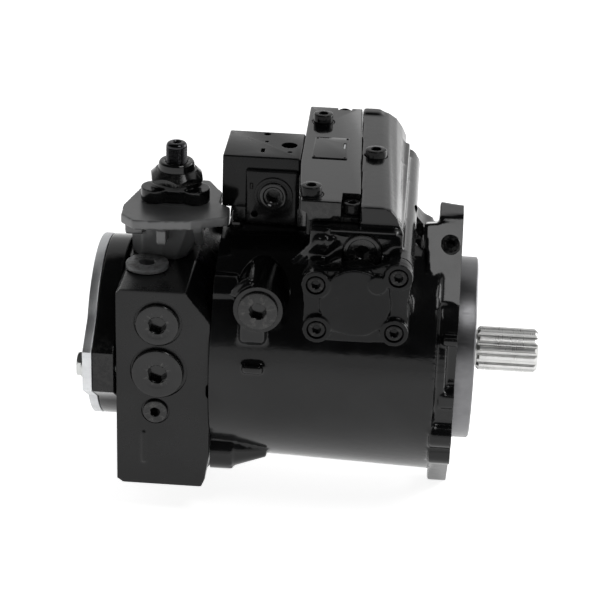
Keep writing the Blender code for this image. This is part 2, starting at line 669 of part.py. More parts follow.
def plug(axis, a, b, face, out, rim_r, rim, thread_r, depth, socket_r, seg=18):
    """Plug with a round rim on a face, its thread behind it and a hexagon socket."""
    lo, hi = sorted((face + out * 0.3, face + out * (0.3 + rim)))
    t_lo, t_hi = sorted((face - out * depth, face + out * 0.8))
    body = join(cyl(axis, a, b, lo, hi, rim_r, seg=seg), cyl(axis, a, b, t_lo, t_hi, thread_r, seg=12))
    s_lo, s_hi = sorted((face + out * (0.3 + rim) - out * min(depth, 6.0), face + out * (5 + rim)))
    return cut(body, cyl(axis, a, b, s_lo, s_hi, socket_r, seg=6))


finish(plug("Y", -132.0, 59.2, -85.0, -1, 13.0, 2.0, 8.6, 12.0, 6.2), "flushing_plug", *DARK_STEEL, (-132.0, -85.0, 59.2))
finish(plug("Y", -64.4, 107.6, -83.0, -1, 11.4, 3.4, 9.2, 10.0, 5.4), "tower_plug", *DARK_STEEL, (-64.4, -83.0, 107.6))
finish(plug("Z", -212.5, -34.0, 63.0, 1, 14.6, 3.0, 9.9, 11.0, 6.0), "port_top_plug", *DARK_STEEL, (-212.5, -34.0, 63.0))
finish(plug("Y", -130.0, 108.0, -2.0, -1, 10.0, 2.2, 7.9, 11.0, 5.0), "control_block_plug", *DARK_STEEL, (-130.0, -2.0, 108.0))
finish(plug("Y", NEAR_PLUG_X - 1.4, GAUGE_PLUG_Z, -PORT_Y, -1, 8.4, 1.6, 5.9, 10.0, 3.6), "gauge_plug", *DARK_STEEL, (NEAR_PLUG_X - 1.4, -PORT_Y, GAUGE_PLUG_Z))
ear_plug = on_ear(join(
    cyl("Y", EAR_PLUG[0], EAR_PLUG[2], EAR_PLUG[1] - 0.8, EAR_PLUG[1] + 12.0, 4.2, seg=10),
    cyl("Y", EAR_PLUG[0], EAR_PLUG[2], EAR_PLUG[1] - 2.6, EAR_PLUG[1] - 0.3, 6.2, seg=14),
))
finish(ear_plug, "ear_plug", *DARK_STEEL, EAR_PLUG)

# relief valves: a screwed cartridge with a poppet that slides in it
for name, z, rim_r, neck_r in (("upper", UPPER_PLUG_Z, 14.7, 11.9), ("lower", LOWER_PLUG_Z, 17.6, 13.9)):
    y0 = -PORT_Y
    cartridge = turned(
        "Y", NEAR_PLUG_X, z,
        [(y0 - 2.3, 0), (y0 - 2.3, rim_r - 1), (y0 - 1.3, rim_r), (y0 - 0.3, rim_r), (y0 - 0.3, neck_r), (y0 + 5.6, neck_r), (y0 + 5.6, 8.9), (-50.0, 8.9), (-50.0, 6.3), (-58.0, 6.3), (-58.0, 0)],
        seg=20,
    )
    cut(cartridge, cyl("Y", NEAR_PLUG_X, z, y0 - 9.0, y0 + 4.0, 6.4, seg=6))
    finish(cartridge, f"relief_valve_{name}", *DARK_STEEL, (NEAR_PLUG_X, -PORT_Y, z))
    poppet = turned("Y", NEAR_PLUG_X, z, [(-56.0, 0), (-56.0, 5.8), (-46.0, 5.8), (-46.0, 7.6), (-41.0, 7.6), (-36.5, 3.0), (-36.5, 0)], seg=12)
    finish(poppet, f"relief_poppet_{name}", *GROUND, (NEAR_PLUG_X, -46.0, z))

# =====================================================================
# pressure valve on the port plate: body, cap, lock nut, adjusting spindle
# =====================================================================
base = [(-227.0, -8.0), (-218.0, -18.0), (-196.5, -18.0), (-192.0, -27.0), (-180.0, -27.0), (-170.0, -16.0), (-170.0, 30.0), (-180.0, 40.0), (-216.0, 40.0), (-227.0, 30.0)]
body = plate("Z", base, 63.3, 95.0)
roof = [(-232.0, -24.0), (-204.0, -38.0), (-182.0, -36.0), (-169.0, -28.0), (-165.5, 26.0), (-176.0, 42.0), (-219.0, 44.0), (-233.0, 22.0)]
join(body, plate("Z", roof, 92.0, 100.0))
cut(
    body,
    cyl("Z", VALVE_X, VALVE_Y, 74.0, 120.0, 9.3, seg=18),
    cyl("Z", VALVE_X, 22.0, 50.0, 80.0, 4.0, seg=10),
    cyl("Y", VALVE_X, 77.0, 2.0, 24.0, 3.0, seg=8),
    # windows between the ribs of the casting
    box(-219.0, -202.0, -40.0, -11.0, 70.0, 88.0),
    box(-190.5, -179.0, -40.0, -18.5, 70.0, 88.0),
)
finish(body, "pressure_valve_body", *BLACK, (VALVE_X, VALVE_Y, 63.3))

cap = cyl("Z", VALVE_X, VALVE_Y, 100.3, 114.0, 14.5, seg=20)
join(
    cap,
    cyl("Z", VALVE_X - 14.5, VALVE_Y - 5.0, 100.3, 111.0, 8.2, seg=12),
    cyl("Z", VALVE_X + 14.5, VALVE_Y - 3.0, 100.3, 111.0, 8.2, seg=12),
    box(VALVE_X - 14.0, VALVE_X + 14.0, VALVE_Y - 9.0, VALVE_Y + 5.0, 100.3, 109.0),
    cyl("Z", VALVE_X, VALVE_Y, 90.0, 101.0, 8.9, seg=18),
)
cut(cap, cyl("Z", VALVE_X, VALVE_Y, 60.0, 130.0, 5.6, seg=14))
finish(cap, "pressure_valve_cap", *BLACK, (VALVE_X, VALVE_Y, 100.3))

nut = turned("Z", VALVE_X, VALVE_Y, [(127.0, 7.7), (127.0, 12.0), (121.0, 12.6), (121.0, 7.7)], seg=18, closed=True)
hexagon = cyl("Z", VALVE_X, VALVE_Y, 114.3, 121.5, 17.5, seg=6, turn=math.radians(12))
join(hexagon, nut)
cut(hexagon, cyl("Z", VALVE_X, VALVE_Y, 100.0, 140.0, 7.7, seg=18))
finish(hexagon, "lock_nut", *DARK_STEEL, (VALVE_X, VALVE_Y, 114.3))

spindle = turned(
    "Z", VALVE_X, VALVE_Y,
    [(143.0, 0), (143.0, 5.2), (141.0, 7.0), (128.0, 7.3), (114.6, 7.3), (114.6, 5.2), (84.0, 5.2), (84.0, 0)],
    seg=14,
)
cut(spindle, cyl("Z", VALVE_X, VALVE_Y, 136.0, 150.0, 3.2, seg=6))
finish(spindle, "adjusting_spindle", *DARK_STEEL, (VALVE_X, VALVE_Y, 114.6))

# =====================================================================
# boost pump: gerotor with a six-lobed rotor in a seven-lobed ring
# =====================================================================


def rotor_outline(clear, count=66, steps=3600):
    """Curve that rolls inside the ring's lobes, drawn in by the running clearance and stepped evenly along its length."""
    n, pts = ROTOR_PINS, []
    r = ROTOR_PIN_R + clear
    for k in range(steps):
        t = 2 * math.pi * k / steps
        lean = math.atan2(math.sin((1 - n) * t), ROTOR_PITCH_R / (ROTOR_E * n) - math.cos((1 - n) * t))
        x = ROTOR_PITCH_R * math.cos(t) - r * math.cos(t + lean) - ROTOR_E * math.cos(n * t)
        y = -ROTOR_PITCH_R * math.sin(t) + r * math.sin(t + lean) + ROTOR_E * math.sin(n * t)
        pts.append((y, -x))
    gaps = [math.dist(pts[k], pts[(k + 1) % steps]) for k in range(steps)]
    pitch, run, kept = sum(gaps) / count, 0.0, []
    for point, gap in zip(pts, gaps):
        if run >= len(kept) * pitch:
            kept.append(point)
        run += gap
    return kept[:count]


rotor = plate("X", rotor_outline(0.35), -243.3, -232.4, [ring(0, 0, 8.9, 20)])
finish(rotor, "boost_rotor", *STEEL, (-238.0, 0, 0))
boost_ring = plate("X", ring(0, ROTOR_E, RING_R, 28), -243.3, -232.4, [ring(0, ROTOR_E, ROTOR_PITCH_R + 3.4, 21)])
lobes = []
for i in range(ROTOR_PINS):
    a = 2 * math.pi * i / ROTOR_PINS - math.pi / 2
    lobes.append(cyl("X", ROTOR_PITCH_R * math.cos(a), ROTOR_E + ROTOR_PITCH_R * math.sin(a), -243.3, -232.4, ROTOR_PIN_R, seg=18))
join(boost_ring, *lobes)
finish(boost_ring, "boost_ring", *STEEL, (-238.0, 0, ROTOR_E))
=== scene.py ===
"""Looks for the axial piston pump: finer castings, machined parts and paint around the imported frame.

Lengths are in millimetres from the pump datum (shaft axis and flange face),
with +X towards the shaft end and -Y towards the viewer; place() takes them
into the frame's metres.
"""
import math

import bmesh
import bpy
from mathutils import Matrix, Vector


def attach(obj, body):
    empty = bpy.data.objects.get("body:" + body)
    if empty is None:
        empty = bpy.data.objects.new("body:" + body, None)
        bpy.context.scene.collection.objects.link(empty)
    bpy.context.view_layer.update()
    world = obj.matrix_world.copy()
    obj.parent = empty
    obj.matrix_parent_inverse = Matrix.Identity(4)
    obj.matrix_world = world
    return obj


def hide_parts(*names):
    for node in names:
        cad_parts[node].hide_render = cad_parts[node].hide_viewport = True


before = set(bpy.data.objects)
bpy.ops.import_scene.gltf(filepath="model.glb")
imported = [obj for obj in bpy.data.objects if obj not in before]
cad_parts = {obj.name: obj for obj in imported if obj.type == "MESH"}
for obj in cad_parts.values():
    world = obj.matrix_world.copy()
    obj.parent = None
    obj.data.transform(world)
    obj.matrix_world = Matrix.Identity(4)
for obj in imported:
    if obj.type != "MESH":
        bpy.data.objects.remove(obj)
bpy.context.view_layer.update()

MM = 0.001
DATUM_X, AXIS_HEIGHT = 99.0, 106.5
TURN = {
    "X": Matrix(((0, 0, 1), (1, 0, 0), (0, 1, 0))),
    "Y": Matrix(((0, 1, 0), (0, 0, 1), (1, 0, 0))),
    "Z": Matrix(((1, 0, 0), (0, 1, 0), (0, 0, 1))),
}


def place(x, y, z):
    return Vector(((x + DATUM_X) * MM, y * MM, (z + AXIS_HEIGHT) * MM))


def seat(mesh, axis, shift=(0, 0, 0)):
    mesh.transform(TURN[axis].to_4x4())
    mesh.transform(Matrix.Translation(shift))
    mesh.transform(Matrix.Translation((DATUM_X, 0, AXIS_HEIGHT)))
    mesh.transform(Matrix.Scale(MM, 4))


def made(mesh, name="piece"):
    obj = bpy.data.objects.new(name, mesh)
    bpy.context.scene.collection.objects.link(obj)
    return obj


def from_bmesh(bm, axis, shift=(0, 0, 0)):
    bmesh.ops.recalc_face_normals(bm, faces=bm.faces)
    mesh = bpy.data.meshes.new("piece")
    bm.to_mesh(mesh)
    bm.free()
    seat(mesh, axis, shift)
    return made(mesh)


def centre_of(axis, a, b):
    return {"X": (0, a, b), "Y": (a, 0, b), "Z": (a, b, 0)}[axis]


# ------------------------------------------------------------------ solids


def cyl(axis, a, b, lo, hi, r, r2=None, seg=64, turn=0.0):
    bm = bmesh.new()
    bmesh.ops.create_cone(
        bm, cap_ends=True, segments=seg, radius1=r, radius2=r if r2 is None else r2, depth=hi - lo,
        matrix=Matrix.Translation((0, 0, (hi + lo) / 2)) @ Matrix.Rotation(turn, 4, "Z"),
    )
    return from_bmesh(bm, axis, centre_of(axis, a, b))


def block(x0, x1, y0, y1, z0, z1, r=0.0, seg=3):
    bm = bmesh.new()
    bmesh.ops.create_cube(
        bm, size=1.0,
        matrix=Matrix.Translation(((x0 + x1) / 2, (y0 + y1) / 2, (z0 + z1) / 2))
        @ Matrix.Diagonal((x1 - x0, y1 - y0, z1 - z0, 1)),
    )
    if r:
        bmesh.ops.bevel(bm, geom=bm.edges[:], offset=r, segments=seg, profile=0.5, affect="EDGES")
    return from_bmesh(bm, "Z")


def inset(points, d):
    """The closed outline moved inwards by d, anticlockwise."""
    n = len(points)
    out = []
    for i in range(n):
        p = Vector(points[i])
        a, b = p - Vector(points[i - 1]), Vector(points[(i + 1) % n]) - p
        a.normalize(), b.normalize()
        na, nb = Vector((-a.y, a.x)), Vector((-b.y, b.x))
        m = na + nb
        if m.length < 1e-6:
            m = na
        m.normalize()
        out.append(tuple(p + m * (d / max(m.dot(na), 0.35))))
    return out


def anticlockwise(points):
    area = sum(points[i - 1][0] * points[i][1] - points[i][0] * points[i - 1][1] for i in range(len(points)))
    return list(points) if area > 0 else list(reversed(points))


def loft(axis, rings):
    """Rings of (height, outline) joined into a closed solid. Outline points are (y, z), (x, z) or (x, y)."""
    bm = bmesh.new()
    loops = []
    for t, pts in rings:
        loops.append([bm.verts.new((v, u, t) if axis == "Y" else (u, v, t)) for u, v in pts])
    n = len(loops[0])
    for a, b in zip(loops, loops[1:]):
        for i in range(n):
            j = (i + 1) % n
            bm.faces.new((a[i], a[j], b[j], b[i]))
    bm.faces.new(loops[0])
    bm.faces.new(loops[-1])
    return from_bmesh(bm, axis)


def slab(axis, outline, lo, hi, r=0.0, steps=4, ends="both"):
    """Flat outline extruded along its axis, its rims rounded by r at the named ends."""
    pts = anticlockwise(outline)
    rings = []
    if r and ends in ("both", "lo"):
        for k in range(steps + 1):
            a = math.pi / 2 * k / steps
            rings.append((lo + r * (1 - math.sin(a)), inset(pts, r * (1 - math.cos(a)))))
        rings = [(lo + r * (1 - math.sin(math.pi / 2 * (steps - k) / steps)), inset(pts, r * (1 - math.cos(math.pi / 2 * (steps - k) / steps)))) for k in range(steps + 1)]
    else:
        rings.append((lo, pts))
    if r and ends in ("both", "hi"):
        for k in range(steps + 1):
            a = math.pi / 2 * k / steps
            rings.append((hi - r * (1 - math.sin(a)), inset(pts, r * (1 - math.cos(a)))))
    else:
        rings.append((hi, pts))
    if r:
        clean = []
        for t, p in sorted(rings, key=lambda ring_: ring_[0]):
            if not clean or t - clean[-1][0] > 1e-4:
                clean.append((t, p))
        rings = clean
    return loft(axis, rings)


def turned(axis, a, b, profile, seg=64):
    """Closed profile of (distance along the axis, radius) turned about the line through (a, b)."""
    bm = bmesh.new()
    loops = []
    for t, r in profile:
        if r < 1e-6:
            loops.append([bm.verts.new((0, 0, t))])
        else:
            loops.append([bm.verts.new((r * math.cos(2 * math.pi * i / seg), r * math.sin(2 * math.pi * i / seg), t)) for i in range(seg)])
    pairs = list(zip(loops, loops[1:]))
    if profile[0][1] > 1e-6:
        pairs.append((loops[-1], loops[0]))
    for p, q in pairs:
        for i in range(seg):
            j = (i + 1) % seg
            if len(p) == 1 and len(q) == 1:
                continue
            if len(p) == 1:
                bm.faces.new((p[0], q[j], q[i]))
            elif len(q) == 1:
                bm.faces.new((p[i], p[j], q[0]))
            else:
                bm.faces.new((p[i], p[j], q[j], q[i]))
    return from_bmesh(bm, axis, centre_of(axis, a, b))


def soft_profile(points, r=0.4, steps=3):
    """An open profile whose inner corners are rounded by r."""
    out = [points[0]]
    for i in range(1, len(points) - 1):
        p, a, b = Vector(points[i]), Vector(points[i - 1]), Vector(points[i + 1])
        da, db = a - p, b - p
        reach = min(r, da.length * 0.45, db.length * 0.45)
        if reach < 1e-3:
            out.append(points[i])
            continue
        s, e = p + da.normalized() * reach, p + db.normalized() * reach
        for k in range(steps + 1):
            t = k / steps
            out.append(tuple((1 - t) ** 2 * s + 2 * t * (1 - t) * p + t * t * e))
    out.append(points[-1])
    return out


def tube(points, r, seg=10, closed_ends=True):
    """Round rod along a line of points."""
    bm = bmesh.new()
    pts = [Vector(p) for p in points]
    loops = []
    up = Vector((0.13, 0.21, 0.97)).normalized()
    for i, p in enumerate(pts):
        d = (pts[min(i + 1, len(pts) - 1)] - pts[max(i - 1, 0)]).normalized()
        u = d.cross(up).normalized()
        v = d.cross(u)
        loops.append([bm.verts.new(p + u * r * math.cos(2 * math.pi * k / seg) + v * r * math.sin(2 * math.pi * k / seg)) for k in range(seg)])
    for a, b in zip(loops, loops[1:]):
        for k in range(seg):
            j = (k + 1) % seg
            bm.faces.new((a[k], a[j], b[j], b[k]))
    bm.faces.new(loops[0])
    bm.faces.new(loops[-1])
    return from_bmesh(bm, "Z")


def apply(obj):
    graph = bpy.context.evaluated_depsgraph_get()
    mesh = bpy.data.meshes.new_from_object(obj.evaluated_get(graph))
    old = obj.data
    obj.modifiers.clear()
    obj.data = mesh
    bpy.data.meshes.remove(old)
    return obj


def shape(target, others, operation, solver="MANIFOLD"):
    before = len(target.data.polygons)
    for other in others:
        m = target.modifiers.new("shape", "BOOLEAN")
        m.operation, m.solver, m.object = operation, solver, other
    graph = bpy.context.evaluated_depsgraph_get()
    mesh = bpy.data.meshes.new_from_object(target.evaluated_get(graph))
    target.modifiers.clear()
    if len(mesh.polygons) == 0 and before:
        raise RuntimeError(f"{target.name}: the {operation} came out empty")
    old = target.data
    target.data = mesh
    bpy.data.meshes.remove(old)
    for other in others:
        bpy.data.objects.remove(other, do_unlink=True)
    return target


def join(target, *others):
    return shape(target, others, "UNION")


def cut(target, *others):
    return shape(target, others, "DIFFERENCE")


def cast(obj, voxel, passes):
    """Melts a union of solids into one casting with filleted inner corners and rounded edges."""
    m = obj.modifiers.new("melt", "REMESH")
    m.mode, m.voxel_size, m.use_smooth_shade = "VOXEL", voxel * MM, True
    apply(obj)
    m = obj.modifiers.new("round", "SMOOTH")
    m.factor, m.iterations = 0.5, passes
    apply(obj)
    return obj


def ring(cx, cy, r, n=48, start=0.0):
    return [(cx + r * math.cos(start + 2 * math.pi * i / n), cy + r * math.sin(start + 2 * math.pi * i / n)) for i in range(n)]


def arc(cx, cy, r, a0, a1, n):
    return [(cx + r * math.cos(math.radians(a0 + (a1 - a0) * i / n)), cy + r * math.sin(math.radians(a0 + (a1 - a0) * i / n))) for i in range(n + 1)]


def rounded(points, radius, n=6):
    out = []
    for i, p in enumerate(points):
        p = Vector(p)
        a, b = Vector(points[i - 1]) - p, Vector(points[(i + 1) % len(points)]) - p
        half = a.angle(b) / 2
        reach = min(radius / math.tan(half), a.length * 0.48, b.length * 0.48)
        a.normalize(), b.normalize()
        s, e = p + a * reach, p + b * reach
        for k in range(n + 1):
            t = k / n
            out.append(tuple((1 - t) ** 2 * s + 2 * t * (1 - t) * p + t * t * e))
    return out


def done(obj, name, material, body="casing", replaces=(), angle=32):
    obj.name = name
    obj.data.name = name
    obj.data.materials.clear()
    obj.data.materials.append(material)
    obj.data.shade_smooth()
    obj.data.set_sharp_from_angle(angle=math.radians(angle))
    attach(obj, body)
    if replaces:
        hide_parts(*([replaces] if isinstance(replaces, str) else replaces))
    return obj


# --------------------------------------------------------------- materials


class Look:
    """A Principled material built up node by node."""

    def __init__(self, name, **values):
        self.material = bpy.data.materials.new(name)
        self.material.use_nodes = True
        self.tree = self.material.node_tree
        self.shader = self.tree.nodes["Principled BSDF"]
        for key, value in values.items():
            self.shader.inputs[key.replace("_", " ")].default_value = value
        self.coords = self.tree.nodes.new("ShaderNodeTexCoord").outputs["Object"]

    def link(self, a, b):
        self.tree.links.new(a, b)

    def node(self, kind, **values):
        n = self.tree.nodes.new(kind)
        for key, value in values.items():
            setattr(n, key, value)
        return n

    def noise(self, scale, detail=3.0, rough=0.5, stretch=None, distort=0.0):
        n = self.node("ShaderNodeTexNoise")
        n.inputs["Scale"].default_value = scale
        n.inputs["Detail"].default_value = detail
        n.inputs["Roughness"].default_value = rough
        n.inputs["Distortion"].default_value = distort
        source = self.coords
        if stretch:
            m = self.node("ShaderNodeMapping")
            m.inputs["Scale"].default_value = stretch
            self.link(source, m.inputs["Vector"])
            source = m.outputs["Vector"]
        self.link(source, n.inputs["Vector"])
        return n.outputs["Fac"]

    def cells(self, scale, feature="F1"):
        n = self.node("ShaderNodeTexVoronoi", feature=feature)
        n.inputs["Scale"].default_value = scale
        self.link(self.coords, n.inputs["Vector"])
        return n.outputs["Distance"]

    def span(self, source, lo, hi, to_lo=0.0, to_hi=1.0):
        n = self.node("ShaderNodeMapRange", interpolation_type="SMOOTHSTEP")
        for i, v in enumerate((lo, hi, to_lo, to_hi)):
            n.inputs[i + 1].default_value = v
        self.link(source, n.inputs[0])
        return n.outputs[0]

    def math(self, operation, a, b=None, c=None):
        n = self.node("ShaderNodeMath", operation=operation)
        for i, v in enumerate((a, b, c)):
            if v is None:
                continue
            if isinstance(v, (int, float)):
                n.inputs[i].default_value = v
            else:
                self.link(v, n.inputs[i])
        return n.outputs[0]

    def mix(self, factor, a, b):
        n = self.node("ShaderNodeMix", data_type="RGBA")
        if isinstance(factor, (int, float)):
            n.inputs[0].default_value = factor
        else:
            self.link(factor, n.inputs[0])
        for socket, v in ((n.inputs[6], a), (n.inputs[7], b)):
            if isinstance(v, tuple):
                socket.default_value = (*v, 1.0)
            else:
                self.link(v, socket)
        return n.outputs[2]

    def edges(self, lo, hi):
        """Bright along convex edges of the mesh."""
        g = self.node("ShaderNodeNewGeometry")
        return self.span(g.outputs["Pointiness"], lo, hi)

    def bump(self, layers, strength=1.0, soften=0.0):
        """Layers of (height, distance in mm), stacked."""
        normal = None
        if soften:
            n = self.node("ShaderNodeBevel", samples=4)
            n.inputs["Radius"].default_value = soften * MM
            normal = n.outputs["Normal"]
        for height, distance in layers:
            n = self.node("ShaderNodeBump")
            n.inputs["Strength"].default_value = strength
            n.inputs["Distance"].default_value = distance * MM
            self.link(height, n.inputs["Height"])
            if normal is not None:
                self.link(normal, n.inputs["Normal"])
            normal = n.outputs["Normal"]
        self.link(normal, self.shader.inputs["Normal"])

    def set(self, key, source):
        self.link(source, self.shader.inputs[key])


def paint(name, grain=0.05, peel=0.05, wear=0.35, rough=(0.10, 0.20), soften=0.5, dust=0.5, dark=(0.0022, 0.0023, 0.0025), light=(0.0055, 0.0057, 0.006), ior=1.40, coat=0.12):
    """Gloss black enamel: orange peel, the casting's grain under it, thin places rubbed on the edges, and faint dust."""
    k = Look(name, IOR=ior, Metallic=0.0)
    k.shader.inputs["Coat Weight"].default_value = coat
    k.shader.inputs["Coat Roughness"].default_value = 0.05
    cloud = k.noise(26.0, 4.0)
    blotch = k.noise(120.0, 3.0, 0.6)
    fine = k.noise(700.0, 2.0)
    edge = k.math("MULTIPLY", k.edges(0.515, 0.60), k.span(k.noise(260.0, 5.0, 0.7), 0.42, 0.62))
    edge = k.math("MULTIPLY", edge, wear)
    body = k.mix(k.span(cloud, 0.35, 0.68), dark, light)
    body = k.mix(k.math("MULTIPLY", k.span(blotch, 0.55, 0.78), 0.35 * dust), body, (0.013, 0.0133, 0.013))
    k.set("Base Color", k.mix(edge, body, (0.045, 0.044, 0.042)))
    roughness = k.span(k.math("ADD", k.math("MULTIPLY", cloud, 0.6), k.math("MULTIPLY", blotch, 0.4)), 0.36, 0.66, *rough)
    k.set("Roughness", k.math("ADD", roughness, k.math("MULTIPLY", edge, 0.30)))
    k.bump([(k.noise(210.0, 2.0, 0.4), peel), (fine, peel * 0.22), (k.cells(1150.0), grain * 0.5)], soften=soften)
    return k.material


def bare(name, colour, rough=(0.22, 0.38), stretch=(1, 1, 1), lines=0.004, stain=(0.28, 0.27, 0.26), stain_amount=0.25, soften=0.25, metallic=1.0):
    """Machined bare metal with tool lines along one direction and a thin film of oil."""
    k = Look(name, Metallic=metallic)
    cloud = k.noise(60.0, 4.0)
    tool = k.noise(1.0, 3.0, 0.6, stretch=stretch)
    body = k.mix(k.span(cloud, 0.38, 0.66), tuple(c * 0.90 for c in colour), tuple(min(1.0, c * 1.06) for c in colour))
    body = k.mix(k.math("MULTIPLY", k.span(k.noise(190.0, 5.0, 0.7), 0.56, 0.74), stain_amount), body, stain)
    k.set("Base Color", body)
    k.set("Roughness", k.span(k.math("ADD", k.math("MULTIPLY", tool, 0.6), k.math("MULTIPLY", cloud, 0.4)), 0.36, 0.66, *rough))
    k.bump([(tool, lines), (k.noise(1500.0, 2.0), lines * 0.4)], soften=soften)
    return k.material


PAINT_CAST = paint("paint_on_casting", grain=0.03, peel=0.07, ior=1.355, coat=0.08)
PAINT_PORT = paint("paint_on_port_plate", grain=0.03, peel=0.06, rough=(0.22, 0.32), ior=1.36, coat=0.03)
# painted light: the valve's grey base colour, far lighter than the black paint elsewhere, stands in for the bright
# reflection on its roof
VALVE_PAINT_WITH_PAINTED_LIGHT = paint("paint_on_valve_painted_light", grain=0.02, peel=0.05, rough=(0.30, 0.40), ior=1.75, coat=0.0, dark=(0.060, 0.061, 0.062), light=(0.082, 0.083, 0.084))
PAINT_FLAT = paint("paint_on_machined_face", grain=0.008, peel=0.035, rough=(0.09, 0.16))
PAINT_BOLT = paint("paint_on_fastener", grain=0.0, peel=0.02, wear=0.8, rough=(0.10, 0.22), soften=0.25)
PAINT_SCREW = paint("paint_on_socket_screws", grain=0.0, peel=0.02, wear=0.5, rough=(0.10, 0.20), soften=0.25, ior=1.27, coat=0.02)
PAINT_LID = paint("paint_on_covers", grain=0.03, peel=0.07, rough=(0.12, 0.24), ior=1.27, coat=0.02)
PAINT_BLOCK = paint("paint_on_control_block", grain=0.01, peel=0.04, rough=(0.10, 0.20), ior=1.27, coat=0.01)
# painted reflection: the top plug's grey base colour stands in for the bright ring of light on its rim
PLUG_PAINTED_REFLECTION = paint("plug_with_painted_reflection", grain=0.0, peel=0.02, wear=0.8, rough=(0.26, 0.38), soften=0.25, dark=(0.085, 0.087, 0.088), light=(0.13, 0.132, 0.134), coat=0.05)
SHAFT_STEEL = bare("hobbed_shaft_steel", (0.60, 0.60, 0.59), (0.26, 0.42), (1500, 60, 60), 0.004)
TURNED_STEEL = bare("turned_steel", (0.50, 0.50, 0.50), (0.20, 0.34), (2500, 90, 90), 0.003)
BLOCK_STEEL = bare("nitrided_steel", (0.40, 0.40, 0.41), (0.24, 0.38), (2200, 90, 90), 0.003)
PLATE_STEEL = bare("lapped_steel", (0.52, 0.52, 0.53), (0.14, 0.26), (700, 700, 700), 0.001)
GROUND_STEEL = bare("ground_steel", (0.62, 0.62, 0.63), (0.12, 0.24), (90, 3000, 90), 0.002)
BRONZE = bare("bearing_bronze", (0.58, 0.37, 0.17), (0.22, 0.36), (700, 700, 700), 0.002, stain=(0.22, 0.12, 0.06))
SPINDLE_STEEL = bare("burnished_spindle_steel", (0.045, 0.045, 0.048), (0.12, 0.24), (700, 700, 2500), 0.002, stain=(0.02, 0.02, 0.02))
PILOT_IRON = bare("machined_pilot", (0.17, 0.17, 0.175), (0.30, 0.42), (90, 2400, 90), 0.003, stain=(0.20, 0.19, 0.18))
MILLED = bare("milled_cover_alloy", (0.66, 0.67, 0.68), (0.40, 0.56), (60, 900, 900), 0.006, stain=(0.42, 0.42, 0.41), stain_amount=0.35)
ZINC = bare("zinc_plated_steel", (0.60, 0.61, 0.60), (0.28, 0.42), (600, 600, 600), 0.003, stain=(0.42, 0.40, 0.33), stain_amount=0.3)
SINTERED = bare("sintered_steel", (0.34, 0.34, 0.34), (0.34, 0.50), (900, 900, 900), 0.004)


def rubber_look():
    k = Look("nitrile_rubber", IOR=1.45, Metallic=0.0)
    k.set("Base Color", k.mix(k.span(k.noise(140.0), 0.4, 0.65), (0.010, 0.010, 0.011), (0.020, 0.020, 0.020)))
    k.set("Roughness", k.span(k.noise(500.0), 0.35, 0.65, 0.50, 0.66))
    k.bump([(k.noise(1600.0), 0.01)])
    return k.material


RUBBER = rubber_look()


# ----------------------------------------------------------- main casting

PILOT_R, PILOT_LENGTH = 63.5, 12.7
SERVO_X, SERVO_Z = -68.0, 77.0
SWIVEL_X, CRADLE_R = -86.0, 48.0
COVER_SCREWS = ((-93.5, 90.0), (-92.0, 58.5), (-42.0, 59.0), (-41.0, 98.0))
slope = (86.6 - 81.8) / (-13.5 + 164.4)
housing = cyl("X", 0, 0, -168.0, -13.5, 81.8 - 3.6 * slope, 86.6, seg=180)
EAR_SLOPE = math.asin((81.0 - 16.0) / 90.5)
EAR_DRAFT = 0.20


def ear_ring(x, sign, top=None):
    """Outline of one ear at x: straight sides tangent to the flange's disc, with draft towards the front."""
    grow = -EAR_DRAFT * x
    big = 81.0 + (grow if sign > 0 else 0.0)
    r = 16.0 + (grow if sign > 0 else 0.0)
    y, z = big * math.cos(EAR_SLOPE), big * math.sin(EAR_SLOPE)
    if top is None:
        crown = [(math.cos(math.radians(a)) * r, 90.5 + min(13.2 if sign > 0 else 16.0, r * math.sin(math.radians(a)))) for a in range(46, 135, 4)]
    else:
        n_y, n_z = math.cos(EAR_SLOPE), math.sin(EAR_SLOPE)
        u = (big - top * n_z) / n_y
        crown = [(u * (1 - 2 * i / 22.0), top) for i in range(23)]
    points = [(y, z), *crown, (-y, z), (-30.0, 10.0), (30.0, 10.0)]
    return anticlockwise([(a, sign * b) for a, b in points])


upper_ear = loft("X", [(-16.2, ear_ring(-16.2, 1)), (3.5, ear_ring(3.5, 1))])
lower_ear = loft("X", [(-13.5, ear_ring(-13.5, -1)), (3.5, ear_ring(3.5, -1))])
ear_side = anticlockwise([(-27.6, 110.0), (-27.2, 102.5), (-22.3, 75.7), (-11.9, 71.6), (-8.3, 67.8), (-6.7, 64.0), (-6.7, 30.0), (3.5, 30.0), (3.5, 110.0)])
root = loft("Y", [(-60.0, ear_side), (60.0, ear_side)])


def root_ring(x):
    """Section of the thick root behind the upper ear; its back slopes down on the far side."""
    big = 81.0 - EAR_DRAFT * x
    n_y, n_z = math.cos(EAR_SLOPE), math.sin(EAR_SLOPE)
    return anticlockwise([(-big * n_y, big * n_z), (-(big - 100.2 * n_z) / n_y, 100.2), (0.0, 93.5), (12.0, 83.0), (12.0, 10.0), (-30.0, 10.0)])


shape(root, [loft("X", [(-28.5, root_ring(-28.5)), (3.4, root_ring(3.4))])], "INTERSECT")


def strip_ring(y, low, out):
    """Section of the cast strip beside the control plate; it narrows towards the far end."""
    t = (y + 80.0) / 184.0
    left = -67.7 - 7.3 * t
    o = -8.0 * t
    return anticlockwise([(left, low), (left, 134), (-53 + o, 134), (-48.4 + o, 132.6), (-44.6 + o * 0.7, 128.6), (-41.8 + o * 0.5, 122.6), (-40.0 + o * 0.3, 115.5), (out, low)])


